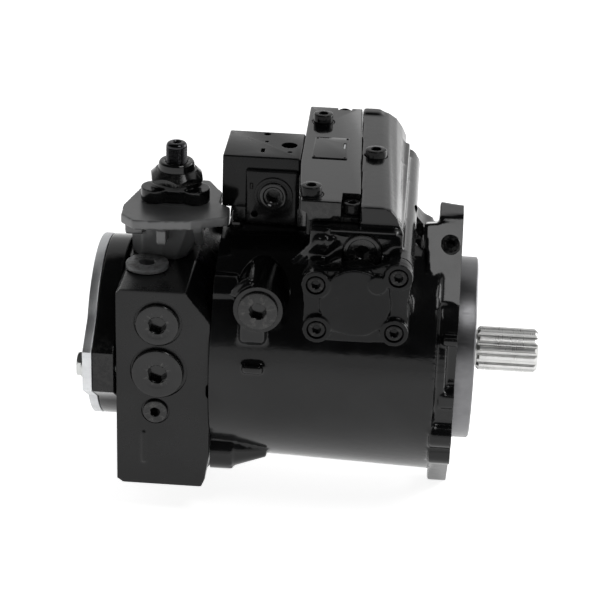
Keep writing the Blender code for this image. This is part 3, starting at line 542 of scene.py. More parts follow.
TOWER = anticlockwise([(-82.6, 119.2), (-84.0, 118.0), (-84.0, 55.0), (-73.0, 45.0), (-58.0, 24.0), (58.0, 24.0), (73.0, 45.0), (84.0, 55.0), (84.0, 118.0), (82.6, 119.2)])
web = anticlockwise([(-54, 60), (-54, 128), (-47, 126), (-42.6, 120), (-40.2, 113), (-38.4, 106), (-36, 98.5), (-32, 91.5), (-26.5, 85.5), (-20, 82.5), (-20, 60)])
parts = [
    cyl("X", 0, 0, -17.0, 3.5, 81.0, seg=160),
    upper_ear,
    lower_ear,
    root,
    # tower around the stroking cylinder
    loft("X", [(-100.0, TOWER), (-39.4, TOWER)]),
    block(-87.0, -43.4, -86.3, 86.0, 117.3, 120.6, 0.6),
    cyl("Y", SERVO_X, SERVO_Z, -99.5, 99.5, 29.5, seg=96),
    # cast strip beside the control plate, with its rounded shoulder, and its raised lip
    loft("Y", [(-80.0, strip_ring(-80.0, 92, -38.0)), (84.0, strip_ring(84.0, 92, -38.0))]),
    loft("Y", [(82.0, strip_ring(82.0, 115, -41.5)), (107.6, strip_ring(107.6, 115, -43.0))]),
    block(-74.4, -61.5, 96.5, 107.4, 128.0, 135.6, 0.6),
    # web that runs down from the tower to the flange ear
    loft("Y", [(-32.0, web), (36.0, web)]),
    # pad under the control block
    block(-160.0, -104.0, -2.0, 46.0, 50.0, 88.0, 1.0),
    block(-151.5, -112.0, -6.0, 10.0, 50.0, 85.4, 1.5),
    # boss of the flushing port on the near shoulder, its foot and its rib
    cyl("Y", -132.0, 59.2, -88.0, -20.0, 16.4, seg=72),
    block(-145.0, -127.0, -80.5, -50.0, 31.0, 52.0, 3.0),
    # shelves and lobes on the near and far rim of the flange
    block(-10.0, 3.5, -77.5, 77.5, 36.8, 42.4, 0.8),
    block(-10.0, 3.5, -82.2, 82.2, -6.5, 2.4, 0.8),
    cyl("X", -76.8, -29.0, -15.0, 3.5, 9.4, seg=40),
    cyl("X", -69.5, -45.0, -15.0, 3.5, 9.8, seg=40),
    cyl("X", 76.8, -29.0, -15.0, 3.5, 9.4, seg=40),
    cyl("X", 69.5, -45.0, -15.0, 3.5, 9.8, seg=40),
    # pads low on the barrel
    block(-41.0, -13.0, -64.5, 64.5, -60.0, -44.0, 6.0),
    block(-142.0, -128.0, -85.8, -60.0, 11.6, 17.6, 1.8),
    block(-142.0, -128.0, 60.0, 85.8, 11.6, 17.6, 1.8),
    # boss of the case drain on the far shoulder
    cyl("Y", -132.0, 59.2, 20.0, 83.0, 15.0, seg=64),
    # ribs under the barrel
    block(-150.0, -20.0, -3.0, 3.0, -90.0, -70.0, 1.5),
]
for sy in (-1, 1):
    for sz in (-1, 1):
        drop = 10.0 if sy < 0 and sz > 0 else 1.6
        parts.append(cyl("X", sy * (58.0 - drop), sz * (64.0 - drop), -168.0, -149.0, 13.6, seg=48))
        parts.append(cyl("X", sy * (57.0 - drop), sz * (63.0 - drop), -149.5, -126.0, 13.0, 5.0, seg=48))
for x, z in COVER_SCREWS:
    parts.append(cyl("Y", x, z, -99.5, 99.5, 9.5, seg=48))
# three fins between the tower and the barrel's shoulder
for i in range(3):
    d = i * 4.6
    parts.append(tube([(-110.5 + d, -72.0 - 1.0 * i, 90.0 - 0.6 * i), (-103.5 + d, -80.5, 100.0 - 0.6 * i), (-97.0 + d, -85.2, 108.5 - 0.6 * i), (-93.0 + d, -85.2, 113.5)], 2.5))
# small cast-on eye beside the flushing port
parts.append(tube([(-132.0 + 19.0 * math.cos(math.radians(a)), -77.0 - 2.0 * math.sin(math.radians(a - 90) * 0.5), 59.2 + 19.0 * math.sin(math.radians(a))) for a in range(108, 164, 6)], 2.1))
join(housing, *parts)
# rough shapes cut before the edges are rounded
cut(
    housing,
    block(-6.6, 10.0, -95.0, -69.0, 3.4, 36.2, 1.0),
    block(-6.6, 10.0, 69.0, 95.0, 3.4, 36.2, 1.0),
    # relief behind the upper ear, beside the web
    cyl("Y", -33.0, 66.0, -44.0, -30.0, 8.0, seg=40),
    # hollow below the servo boss
    block(-88.0, -48.0, -90.0, -84.2, 34.0, 46.0, 1.0),
)
cast(housing, 1.25, 5)
PLATE_WELL = anticlockwise([(-116.0, -100.0), (-66.9, -100.0), (-75.6, 120.0), (-116.0, 120.0)])
# machined faces
cut(
    housing,
    block(-190.0, -164.4, -120.0, 120.0, -120.0, 120.0),
    cut(block(0.0, 30.0, -120.0, 120.0, -120.0, 120.0), cyl("X", 0, 0, -5.0, 40.0, PILOT_R - 2.0, seg=160)),
    block(-130.0, -20.0, -130.0, -96.0, -10.0, 111.0),
    block(-130.0, -20.0, 96.0, 130.0, -10.0, 111.0),
    loft("Z", [(119.7, PLATE_WELL), (150.0, PLATE_WELL)]),
    block(-165.0, -103.0, -20.0, 60.0, 85.6, 99.0),
    cyl("Y", -132.0, 59.2, -120.0, -85.0, 40.0, seg=48),
    cyl("Y", -132.0, 59.2, 80.0, 120.0, 40.0, seg=48),
    cyl("Y", -65.4, 104.8, -120.0, -83.0, 13.0, seg=64),
)
join(
    housing,
    turned("X", 0, 0, [(-6.0, 0), (-6.0, PILOT_R), (PILOT_LENGTH - 1.2, PILOT_R), (PILOT_LENGTH - 0.9, PILOT_R - 0.15), (PILOT_LENGTH, PILOT_R - 1.3), (PILOT_LENGTH, 32.0), (PILOT_LENGTH - 1.6, 30.5), (PILOT_LENGTH - 1.6, 0)], seg=180),
)
cut(housing, cyl("X", 0, 0, -180.0, -34.0, 69.0, seg=120))
join(housing, block(-66.0, -31.0, -31.0, 31.0, 25.0, 46.0), block(-66.0, -31.0, -31.0, 31.0, -46.0, -25.0))


def on_ear(obj):
    """Tilt a piece built along Y so that it stands square on the straight side of the upper ear."""
    pivot = Matrix.Translation(place(-8.3, -26.0, 87.7))
    obj.data.transform(pivot @ Matrix.Rotation(-EAR_SLOPE, 4, "X") @ pivot.inverted())
    return obj


cutters = [
    cyl("Z", SWIVEL_X, 0, -60.0, 60.0, CRADLE_R + 3.2, seg=120),
    cyl("X", 0, 0, -70.0, -12.0, 26.3, seg=72),
    cyl("X", 0, 0, -13.0, 20.0, 21.0, seg=72),
    cyl("X", 0, 0, 10.4, 20.0, 21.0, 23.5, seg=72),
    cyl("Y", SERVO_X, SERVO_Z, -120.0, 120.0, 24.0, seg=96),
    block(-76.0, -70.0, -9.0, 9.0, 90.0, 119.5),
    cyl("Y", -132.0, 59.2, -100.0, -70.0, 9.0, seg=40),
    cyl("Y", -132.0, 59.2, 66.0, 100.0, 9.0, seg=40),
    cyl("Y", -65.4, 104.8, -100.0, -70.0, 9.6, seg=40),
    on_ear(cyl("Y", -8.3, 87.7, -46.0, -12.0, 4.6, seg=32)),
    cyl("Z", -62.0, 15.0, 121.0, 140.0, 8.2, seg=48),
    cyl("Z", -62.0, 15.0, 106.0, 122.0, 3.6, seg=24),
]
for z, back in ((-90.5, -13.0), (90.5, -27.0)):
    cutters.append(cyl("X", 0, z, -45.0, 20.0, 8.75, seg=48))
    cutters.append(cyl("X", 0, z, -1.0, 20.0, 8.75, 30.0, seg=48))
    cutters.append(cyl("X", 0, z, -45.0, back, 13.5, seg=48))
for sy in (-1, 1):
    for x, z in COVER_SCREWS:
        lo, hi = sorted((sy * 120.0, sy * 82.0))
        cutters.append(cyl("Y", x, z, lo, hi, 3.4, seg=20))
for x, y in ((-101.0, -62.0), (-102.0, 76.0), (-74.0, -64.0)):
    cutters.append(cyl("Z", x, y, 104.0, 130.0, 3.4, seg=20))
cut(housing, *cutters)
done(housing, "housing_casting", PAINT_CAST, replaces="main_housing")
# the pilot is machined after painting
housing.data.materials.append(PILOT_IRON)
for face in housing.data.polygons:
    c = face.center
    x, y, z = c.x / MM - DATUM_X, c.y / MM, c.z / MM - AXIS_HEIGHT
    if x > 0.1 and math.hypot(y, z) < PILOT_R + 0.4:
        face.material_index = len(housing.data.materials) - 1

# -------------------------------------------------------------- port plate

PORT_X0, PORT_X1, PORT_Y, PORT_Z0, PORT_Z1 = -228.0, -164.7, 74.0, -84.3, 63.0
NEAR_PLUG_X = -200.0
outline = [
    (PORT_X0 + 4.0, PORT_Z0), (PORT_X1 - 5.0, PORT_Z0), (PORT_X1 - 2.5, PORT_Z0 + 6.0), (PORT_X1, -60.0), (PORT_X1, -14.5), (PORT_X1 - 1.8, -13.0), (PORT_X1 - 1.8, -5.0), (PORT_X1, -3.5),
    (PORT_X1, 41.5), (-167.5, 45.5), (-177.5, 58.0), (-181.0, PORT_Z1), (PORT_X0 + 2.5, PORT_Z1), (PORT_X0 - 1.0, PORT_Z1 - 4.0), (PORT_X0 - 1.0, PORT_Z0 + 4.0),
]
outline = anticlockwise(outline)
port_plate = loft("Y", [(-PORT_Y, outline), (PORT_Y, outline)])
join(
    port_plate,
    cyl("Z", -197.0, 2.0, -109.0, -70.0, 26.0, seg=90),
    cyl("Z", -197.0, 2.0, -86.0, -70.0, 31.0, 28.0, seg=90),
    tube([(-209.2, -74.2, -43.5), (-209.2, -74.2, -66.0)], 1.7),
    # raised border under the pressure valve
    block(-227.5, -181.5, -18.0, 58.0, 55.0, 65.0, 1.0),
    # ledge along the far side and a pad round the work ports
    block(-226.0, -168.0, 60.0, 75.6, -62.0, 60.0, 3.0),
)
cast(port_plate, 1.1, 4)
cut(
    port_plate,
    block(-260.0, PORT_X0, -100.0, 100.0, -120.0, 100.0),
    block(PORT_X1, -140.0, -100.0, 100.0, -120.0, 100.0),
    block(-240.0, -150.0, 74.0, 100.0, -120.0, 100.0),
    block(-240.0, -150.0, -40.0, 40.0, -130.0, -106.5),
    block(-227.0, -160.0, -19.0, 60.0, 63.0, 80.0),
    cyl("X", 0, 0, -240.0, -150.0, 14.0, seg=60),
    cyl("X", 0, 0, -181.0, -150.0, 26.3, seg=72),
    cyl("Z", -197.0, 2.0, -120.0, -58.0, 12.7, seg=60),
    cyl("Z", -197.0, 2.0, -120.0, -105.5, 15.0, 13.0, seg=60),
    turned("Y", NEAR_PLUG_X, 39.0, [(-90, 0), (-90, 12.3), (-68, 12.3), (-68, 9.3), (-34, 9.3), (-34, 0)]),
    turned("Y", NEAR_PLUG_X, 2.6, [(-90, 0), (-90, 14.3), (-68, 14.3), (-68, 9.3), (-34, 9.3), (-34, 0)]),
    cyl("Y", NEAR_PLUG_X + 0.4, 39.5, -90.0, -73.1, 16.2, seg=80),
    cyl("Y", NEAR_PLUG_X + 0.8, 3.6, -90.0, -72.6, 19.3, seg=80),
    cyl("Y", NEAR_PLUG_X - 1.4, -26.3, -90.0, -73.0, 9.6, seg=60),
    cyl("Y", NEAR_PLUG_X - 1.4, -26.3, -90.0, -60.0, 6.3, seg=40),
    cyl("Z", -212.5, -34.0, 50.0, 80.0, 10.3, seg=48),
    cyl("Z", -212.5, -34.0, 62.6, 80.0, 16.0, seg=72),
    cyl("Z", -197.5, 22.0, 34.0, 80.0, 4.0, seg=32),
)
cutters = []
for z in (34.0, -34.0):
    cutters.append(cyl("Y", -197.0, z, -6.0, 90.0, 10.0, seg=60))
    cutters.append(cyl("Y", -197.0, z, 73.0, 90.0, 10.2, 24.0, seg=60))
    cutters.append(cyl("X", 0, z * 29.0 / 34.0, -197.0, -150.0, 6.5, seg=32))
    for dx, dz in ((-11, -13), (11, -13), (-11, 13), (11, 13)):
        if abs(z + dz) < 60:
            cutters.append(cyl("Y", -197.0 + 1.7 * dx, z + dz, 58.0, 90.0, 4.2, seg=28))
            cutters.append(cyl("Y", -197.0 + 1.7 * dx, z + dz, 73.4, 90.0, 4.3, 20.0, seg=28))
for y in (-62.0, 62.0):
    cutters.append(cyl("X", y, 0, -240.0, -216.0, 4.9, seg=28))
cut(port_plate, *cutters)
done(port_plate, "port_plate_casting", PAINT_PORT, replaces="port_plate")

# ---------------------------------------------------------------- rear end


def rear_outline(r, y, z, n=28):
    start = math.degrees(math.asin(z / r))
    return [
        *arc(0, 2.6, r, start + 14, 166 - start, n), (-y, z + 2.0), (-y, 3.0 - z),
        *arc(0, 2.6, r, 194 + start, 346 - start, n), (y, 3.0 - z), (y, z + 2.0),
    ]


drive = slab("X", rear_outline(63.6, 78.4, 15.0), -243.7, -229.3, 1.0)
cut(
    drive,
    cyl("X", 0, 0, -250.0, -220.0, 13.0, seg=48),
    cyl("X", 0, 2.6, -250.0, -232.0, 30.3, seg=90),
    cyl("X", -62.0, 0, -250.0, -220.0, 4.9, seg=28),
    cyl("X", 62.0, 0, -250.0, -220.0, 4.9, seg=28),
)
done(drive, "through_drive_housing", PAINT_CAST, replaces="through_drive_flange")
plate_ = slab("X", rear_outline(63.6, 78.4, 15.0), -250.5, -244.0, 0.8)
cut(plate_, cyl("X", -62.0, 0, -260.0, -240.0, 5.2, seg=28), cyl("X", 62.0, 0, -260.0, -240.0, 5.2, seg=28))
cut(plate_, turned("X", 0, 0, [(-249.9, 44.0), (-249.9, 45.2), (-252.0, 46.2), (-252.0, 43.0)], seg=96))
done(plate_, "rear_cover", MILLED, replaces="rear_cover_plate")
for name, y in (("rear_bolt_near", -62.0), ("rear_bolt_far", 62.0)):
    head = cyl("X", y, 0, -256.0, -252.6, 9.0, seg=6)
    shape(head, [cyl("X", y, 0, -256.0, -252.0, 8.0, 10.6, seg=60)], "INTERSECT")
    join(head, cyl("X", y, 0, -252.9, -250.8, 9.0, seg=48), cyl("X", y, 0, -251.2, -218.0, 4.4, seg=28))
    done(head, name + "_fine", ZINC, replaces=name)

# -------------------------------------------------------------- drive shaft

shaft = turned(
    "X", 0, 0,
    soft_profile([
        (-241.5, 0), (-241.5, 8.5), (-231.5, 8.5), (-231.5, 12.0), (-180.6, 12.0),
        (-180.6, 15.9), (-166.0, 15.9), (-166.0, 14.0), (-158.5, 14.0), (-158.5, 15.3),
        (-112.0, 15.3), (-112.0, 14.0), (-35.0, 14.0), (-35.0, 15.8), (-12.0, 15.8),
        (-12.0, 14.6), (11.0, 14.6), (12.5, 12.6), (18.0, 12.6), (18.0, 0),
    ], 0.5),
    seg=72,
)
teeth = []
for i in range(14):
    for turn, r in ((-0.38, 13.85), (-0.31, 14.05), (-0.25, 14.7), (-0.20, 15.3), (-0.16, 15.55), (0, 15.6), (0.16, 15.55), (0.20, 15.3), (0.25, 14.7), (0.31, 14.05), (0.38, 13.85), (0.5, 13.8)):
        a = 2 * math.pi * (i + turn) / 14
        teeth.append((r * math.cos(a), r * math.sin(a)))
spline = loft("X", [(15.5, anticlockwise(teeth)), (58.0, anticlockwise(teeth))])
shape(spline, [turned("X", 0, 0, [(15.0, 0), (15.0, 13.2), (17.6, 15.9), (55.2, 15.9), (58.0, 13.1), (58.0, 0)], seg=72)], "INTERSECT")
cut(spline, turned("X", 0, 0, [(50.0, 0), (51.5, 1.6), (55.4, 1.6), (58.4, 4.6), (60.0, 4.6), (60.0, 0)], seg=36))
join(shaft, spline)
done(shaft, "shaft_with_spline", SHAFT_STEEL, body="rotating_group", replaces="drive_shaft")
seal = turned("X", 0, 0, soft_profile([(-5.0, 17.0), (-5.0, 20.7), (6.0, 20.7), (6.0, 18.4), (5.0, 17.4), (2.5, 16.6), (1.8, 15.1), (0.6, 15.0), (-0.4, 15.6), (-1.6, 17.0)], 0.25), seg=72)
done(seal, "shaft_lip_seal", RUBBER, replaces="shaft_seal")

# ------------------------------------------------- covers of the stroking cylinder


def lobed_cover(grow=0.0, corner=9.5):
    r = 9.5 + grow
    points = [
        *arc(-93.5, 90.0, r, 200, 60, 10), (-80.0, 98.5 + grow), (-56.0, 101.5 + grow),
        *arc(-41.0, 98.0, corner, 110, -20, 10), (-34.5 + grow, 78.0),
        *arc(-42.0, 59.0, r, 20, -110, 10), (-56.0, 49.5 - grow), (-78.0, 49.0 - grow),
        *arc(-92.0, 58.5, r, 290, 170, 10), (-101.0 - grow, 74.0),
    ]
    return anticlockwise(rounded(points, 5.0, 4))


def socket_screw(axis, a, b, head0, head1, tip, r_head, r_shank, depth, material=PAINT_BOLT):
    """Socket head screw with a rounded head edge and a chamfered hexagon socket."""
    out = 1 if head1 > head0 else -1
    pts = [
        (head1 - out * depth, 0.0), (head1 - out * depth, 0.3), (head1, 0.3), (head1, r_head - 0.7), (head1 - out * 0.25, r_head - 0.25),
        (head1 - out * 0.7, r_head), (head0 + out * 0.2, r_head), (head0, r_head - 0.25), (head0, r_shank + 0.3), (head0 - out * 0.4, r_shank), (tip + out * 0.5, r_shank), (tip, r_shank - 0.5), (tip, 0.0),
    ]
    pts = [(head1, 0.0)] + pts[3:]
    body = turned(axis, a, b, pts, seg=48)
    lo, hi = sorted((head1 - out * depth, head1 + out * 3))
    rim = sorted((head1 - out * 0.5, head1 + out * 3.0))
    cone = (r_head * 0.46, r_head * 0.46 + 3.5) if out > 0 else (r_head * 0.46 + 3.5, r_head * 0.46)
    cut(body, cyl(axis, a, b, lo, hi, r_head * 0.53, seg=6, turn=0.3), cyl(axis, a, b, rim[0], rim[1], cone[0], cone[1], seg=36))
    return body


for side, sy in (("near", -1), ("far", 1)):
    face = sy * 96.3

    def span(a, b):
        return sorted((sy * a, sy * b))

    lo, hi = span(96.3, 103.6)
    lid = loft("Y", [(t, lobed_cover(corner=9.5 if sy < 0 else 7.4)) for t in (lo, hi)])
    extra = [
        # raised middle with a round dome over the cylinder
        cyl("Y", SERVO_X, SERVO_Z + 1.0, *span(100.0, 107.0), 23.0, seg=80),
        loft("Y", [(span(100.0, 106.4)[0], anticlockwise(rounded([(-86, 90), (-82, 96.5), (-57, 98.5), (-46, 89), (-47, 64), (-60, 55), (-84, 57), (-88, 72)], 5))),
                   (span(100.0, 106.4)[1], anticlockwise(rounded([(-86, 90), (-82, 96.5), (-57, 98.5), (-46, 89), (-47, 64), (-60, 55), (-84, 57), (-88, 72)], 5)))]),
        cyl("Y", -54.0, 92.0, *span(100.0, 108.0), 6.0, seg=48),
        cyl("Y", -79.0, 93.5, *span(100.0, 107.2), 4.0, seg=40),
        cyl("Y", -80.3, 66.0, *span(100.0, 107.2), 3.6, seg=40),
        cyl("Y", -70.5, 62.5, *span(100.0, 106.8), 2.6, seg=40),
    ]
    for x, z in COVER_SCREWS:
        extra.append(cyl("Y", x, z, *span(100.0, 108.0), 9.3 if sy < 0 else 7.4, seg=48))
    for (x, z), (u, v) in zip(COVER_SCREWS, ((-78, 84), (-78, 70), (-56, 68), (-56, 88))):
        extra.append(loft("Y", [(t, anticlockwise([(x - 3, z + 3), (x + 3, z - 3), (u + 3, v - 3), (u - 3, v + 3)])) for t in span(98.0, 105.6)]) if (x < -60) == (z > 75) else loft("Y", [(t, anticlockwise([(x - 3, z - 3), (x + 3, z + 3), (u + 3, v + 3), (u - 3, v - 3)])) for t in span(98.0, 105.6)]))
    join(lid, *extra)
    cast(lid, 0.75, 4)
    join(lid, cyl("Y", SERVO_X, SERVO_Z, *span(88.0, 98.0), 23.6, seg=72))
    holes = [block(-120.0, -20.0, *span(80.0, 96.3), 20.0, 130.0)]
    keep = cyl("Y", SERVO_X, SERVO_Z, *span(88.0, 98.0), 23.6, seg=72)
    cut(lid, *holes)
    join(lid, keep)
    holes = []
    for x, z in COVER_SCREWS:
        holes.append(cyl("Y", x, z, *span(90.0, 120.0), 3.4, seg=24))
        holes.append(cyl("Y", x, z, *span(102.0, 120.0), 6.5, seg=40, turn=0.1))
    holes.append(block(-120.0, -20.0, *span(108.0, 125.0), 20.0, 130.0))
    cut(lid, *holes)
    done(lid, f"servo_lid_{side}", PAINT_LID, replaces=f"servo_cover_{side}")
    for i, (x, z) in enumerate(COVER_SCREWS):
        s = socket_screw("Y", x, z, sy * 102.3, sy * 107.6, sy * 84.0, 5.7, 3.0, 3.4)
        done(s, f"lid_screw_{side}_{i + 1}", PAINT_SCREW, replaces=f"cover_screw_{side}_{i + 1}")

# ------------------------------------------------------------ control module

control = slab("Z", rounded([(-107.0, -74.0), (-68.2, -74.0), (-75.35, 107.8), (-113.2, 107.8), (-112.2, -3.0), (-109.8, -38.0)], 1.5, 4), 120.0, 134.0, 0.9)
cut(
    control,
    cyl("Y", -88.0, 127.0, -58.0, 120.0, 5.3, seg=40),
    cyl("Z", -101.0, -62.0, 110.0, 140.0, 3.4, seg=24),
    cyl("Z", -74.0, -64.0, 110.0, 140.0, 3.4, seg=24),
    cyl("Z", -102.0, 76.0, 110.0, 140.0, 3.4, seg=24),
    block(-80.8, -60.0, -90.0, -57.2, 123.5, 140.0, 0.01),
    cyl("Z", -101.0, -62.0, 132.6, 140.0, 8.6, seg=48),
    cyl("Z", -102.0, 76.0, 132.6, 140.0, 8.6, seg=48),
    cyl("Y", -88.0, 127.0, 103.4, 120.0, 8.6, seg=48),
    # scallop under the near left screw
    cyl("Y", -108.0, 121.0, -90.0, -54.0, 6.5, seg=40),
    # window of the stamped mark
    block(-85.0, -83.2, 22.0, 32.5, 133.4, 136.0),
)
done(control, "control_plate_fine", PAINT_FLAT, replaces="control_plate")
tag = slab("Z", rounded([(-105.2, 3.2), (-81.2, 3.2), (-81.2, 43.0), (-105.2, 43.0)], 1.2, 4), 134.02, 134.75, 0.25)
cut(tag, block(-85.0, -83.2, 22.0, 32.5, 133.0, 136.0))
done(tag, "blank_nameplate", PAINT_FLAT)
pin = block(-84.8, -83.4, 22.4, 32.1, 133.5, 134.4, 0.3)
done(pin, "nameplate_key", MILLED)
for i, (x, y) in enumerate(((-103.6, 5.0), (-103.6, 41.2), (-82.8, 5.0), (-82.8, 41.2))):
    rivet = turned("Z", x, y, [(134.7, 0), (134.7, 0.9), (135.0, 0.85), (135.25, 0.5), (135.35, 0)], seg=20)
    done(rivet, f"nameplate_rivet_{i + 1}", PAINT_BOLT)
for i, (x, y, z) in enumerate(((-101.0, -62.0, 132.9), (-102.0, 76.0, 132.9), (-74.0, -64.0, 123.9))):
    s = socket_screw("Z", x, y, z, z + (7.6 if i < 2 else 6.7), 106.0, 6.9 if i < 2 else 5.8, 3.0, 4.2)
    join(s, cyl("Z", x, y, z - 0.1, z + 0.9, 7.7, seg=48)) if i < 2 else None
    done(s, f"control_screw_{i + 1}_fine", PAINT_SCREW, replaces=f"control_screw_{i + 1}")
s = socket_screw("Z", -62.0, 15.0, 121.4, 138.6, 108.0, 7.3, 3.2, 6.0)
done(s, "shoulder_screw_fine", PAINT_SCREW, replaces="shoulder_screw")

side_block = block(-165.4, -112.6, -2.0, 48.0, 97.0, 134.6, 1.2, 4)
join(
    side_block,
    block(-158.0, -113.6, 0.5, 45.0, 86.0, 98.0, 0.6),
    block(-149.2, -113.4, -5.2, 8.0, 87.0, 126.0, 1.6, 4),
    block(-149.2, -113.4, -3.0, 8.0, 86.0, 92.0, 0.6),
    cyl("Y", -130.0, 108.0, -6.6, 0.0, 13.2, seg=72),
    tube([(-145.1, -4.9, 116.5), (-145.1, -4.9, 112.5)], 1.2),
)
cut(
    side_block,
    turned("Y", -130.0, 108.0, [(-20, 0), (-20, 8.3), (16, 8.3), (16, 0)], seg=48),
    cyl("Y", -130.0, 108.0, -20.0, -5.4, 11.2, seg=64),
    cyl("Y", -142.6, 94.0, -20.0, 2.0, 2.4, seg=28),
    cyl("Z", -138.9, 43.0, 129.0, 140.0, 2.6, seg=28),
    cyl("Z", -138.0, 28.3, 129.0, 140.0, 1.5, seg=24),
    block(-140.6, -137.8, 7.0, 14.5, 130.0, 140.0, 0.6),
    cyl("Z", -121.9, 23.0, 128.0, 140.0, 5.6, seg=56),
    cyl("Z", -120.6, 10.0, 130.0, 140.0, 1.7, seg=24),
)
done(side_block, "control_block_fine", PAINT_BLOCK, replaces="control_block")

spool_plug = turned("Y", -88.0, 127.0, [(74.0, 0), (74.0, 4.4), (74.5, 4.9), (104.4, 4.9), (104.4, 7.6), (105.4, 7.6), (105.4, 4.9), (106.0, 0)], seg=40)
hexagon = cyl("Y", -88.0, 127.0, 105.0, 108.4, 6.4, seg=6)
shape(hexagon, [cyl("Y", -88.0, 127.0, 104.0, 108.4, 7.6, 5.6, seg=48)], "INTERSECT")
join(spool_plug, hexagon)
done(spool_plug, "spool_end_plug_fine", PAINT_BOLT, replaces="spool_end_plug")

# ------------------------------------------------------------------- plugs


def plug(axis, a, b, face, out, rim_r, rim, thread_r, depth, socket_r, turn=0.0, dish=0.0, ring_groove=0.0):
    """Plug with a rounded rim, a chamfered shoulder under it, and a chamfered hexagon socket."""
    top = face + out * (0.3 + rim)
    pts = [(top - out * dish, 0.0)]
    if dish:
        pts += [(top - out * dish, rim_r - 3.2), (top, rim_r - 2.4)]
    pts += [(top, rim_r - 0.8), (top - out * 0.25, rim_r - 0.25), (top - out * 0.8, rim_r), (face + out * 0.3, rim_r), (face + out * 0.3, thread_r + 0.6), (face, thread_r), (face - out * depth + out * 0.8, thread_r), (face - out * depth, thread_r - 0.8), (face - out * depth, 0.0)]
    body = turned(axis, a, b, pts, seg=72)
    s = sorted((top - out * min(depth, 6.0), top + out * 5.0))
    c = sorted((top - out * (dish + 0.5), top + out * 4.0))
    r0 = socket_r * 0.88
    cone = (r0, r0 + 4.5 + dish) if out > 0 else (r0 + 4.5 + dish, r0)
    cut(body, cyl(axis, a, b, s[0], s[1], socket_r, seg=6, turn=turn), cyl(axis, a, b, c[0], c[1], cone[0], cone[1], seg=48))
    return body


for name, p in (
    ("flushing_plug", plug("Y", -132.0, 59.2, -85.0, -1, 13.2, 2.2, 8.6, 12.0, 6.2, 0.2)),
    ("tower_plug", plug("Y", -65.4, 104.8, -83.0, -1, 12.3, 3.4, 9.2, 10.0, 5.0, 0.4, dish=1.4)),
    ("port_top_plug", plug("Z", -212.5, -34.0, 63.0, 1, 14.6, 3.2, 9.9, 11.0, 6.0, 0.35)),
    ("control_block_plug", plug("Y", -130.0, 108.0, -5.3, -1, 9.6, 1.4, 7.9, 8.0, 5.0, 0.1, dish=0.8)),
    ("gauge_plug", plug("Y", NEAR_PLUG_X - 1.4, -26.3, -74.0, -1, 8.4, 1.6, 5.9, 10.0, 3.6, 0.5)),
):
    done(p, name + "_fine", PLUG_PAINTED_REFLECTION if name == "port_top_plug" else PAINT_BOLT, replaces=name)
p = turned("Y", -8.3, 87.7, [(-13.0, 0), (-13.0, 4.2), (-26.3, 4.2), (-26.3, 7.2), (-28.0, 7.2), (-28.8, 6.4), (-28.8, 0)], seg=48)
cut(p, cyl("Y", -8.3, 87.7, -31.0, -25.4, 3.4, seg=6, turn=0.3))
on_ear(p)
done(p, "ear_plug_fine", PAINT_SCREW, replaces="ear_plug")
p = plug("Y", -132.0, 59.2, 80.0, 1, 12.6, 2.0, 8.6, 10.0, 6.2, 0.2)
done(p, "drain_plug", PAINT_BOLT)

for name, z, rim_r, neck_r, hex_r in (("upper", 39.0, 14.7, 11.9, 6.4), ("lower", 2.6, 17.6, 13.9, 6.9)):
    y0 = -PORT_Y
    cartridge = turned(
        "Y", NEAR_PLUG_X, z,
        [(y0 - 2.1, 0), (y0 - 2.1, hex_r + 3.0), (y0 - 2.4, hex_r + 3.6), (y0 - 2.4, rim_r - 1.4), (y0 - 2.1, rim_r - 0.5), (y0 - 1.4, rim_r), (y0 - 0.3, rim_r), (y0 - 0.3, neck_r), (y0 + 5.6, neck_r), (y0 + 5.6, 8.9), (-50.0, 8.9), (-50.0, 6.3), (-58.0, 6.3), (-58.0, 0)],
        seg=80,
    )
    cut(cartridge, cyl("Y", NEAR_PLUG_X, z, y0 - 9.0, y0 + 4.0, hex_r, seg=6, turn=0.35), cyl("Y", NEAR_PLUG_X, z, y0 - 5.0, y0 - 1.5, hex_r + 3.0, hex_r - 0.6, seg=48))
    done(cartridge, f"relief_cartridge_{name}", PAINT_BOLT, replaces=f"relief_valve_{name}")

# ---------------------------------------------------------- pressure valve

VX, VY = -197.5, 3.0
foot = anticlockwise([(-226.0, -8.0), (-218.0, -18.0), (-204.0, -20.0), (-196.0, -20.0), (-190.0, -14.0), (-187.0, 0.0), (-187.0, 24.0), (-192.0, 38.0), (-216.0, 40.0), (-226.0, 30.0)])
neck = anticlockwise([(-227.0, -14.0), (-219.0, -24.0), (-204.0, -28.0), (-185.0, -30.0), (-173.0, -22.0), (-169.5, -8.0), (-169.5, 26.0), (-179.0, 37.0), (-214.0, 38.0), (-223.5, 26.0)])
roof = anticlockwise(rounded([(-231.0, -31.0), (-221.0, -42.0), (-204.0, -41.0), (-183.0, -38.0), (-166.0, -30.0), (-158.0, -27.0), (-159.0, -9.0), (-167.0, -3.0), (-166.8, 16.0), (-178.0, 38.0), (-212.0, 38.5), (-222.0, 29.0), (-231.5, -14.0)], 3.5, 4))
valve = loft("Z", [(60.0, foot), (94.0, neck)])
join(
    valve,
    loft("Z", [(92.6, roof), (99.6, roof)]),
    cyl("Z", VX, VY, 97.0, 103.0, 17.5, seg=72),
    # short ribs under the roof on the near side, and a gusset to its right
    block(-206.0, -199.0, -38.0, -18.0, 80.5, 95.0, 1.0),
    loft("X", [(-181.0, anticlockwise([(-20, 95), (-37, 95), (-36, 90), (-20, 74)])), (-175.5, anticlockwise([(-20, 95), (-35, 95), (-34, 90), (-20, 74)]))]),
    block(-228.5, -216.0, -30.0, -12.0, 84.0, 95.0, 1.5),
)
cut(valve, cyl("Z", VX, VY, 100.0, 110.0, 30.0, seg=64))
cast(valve, 0.9, 3)
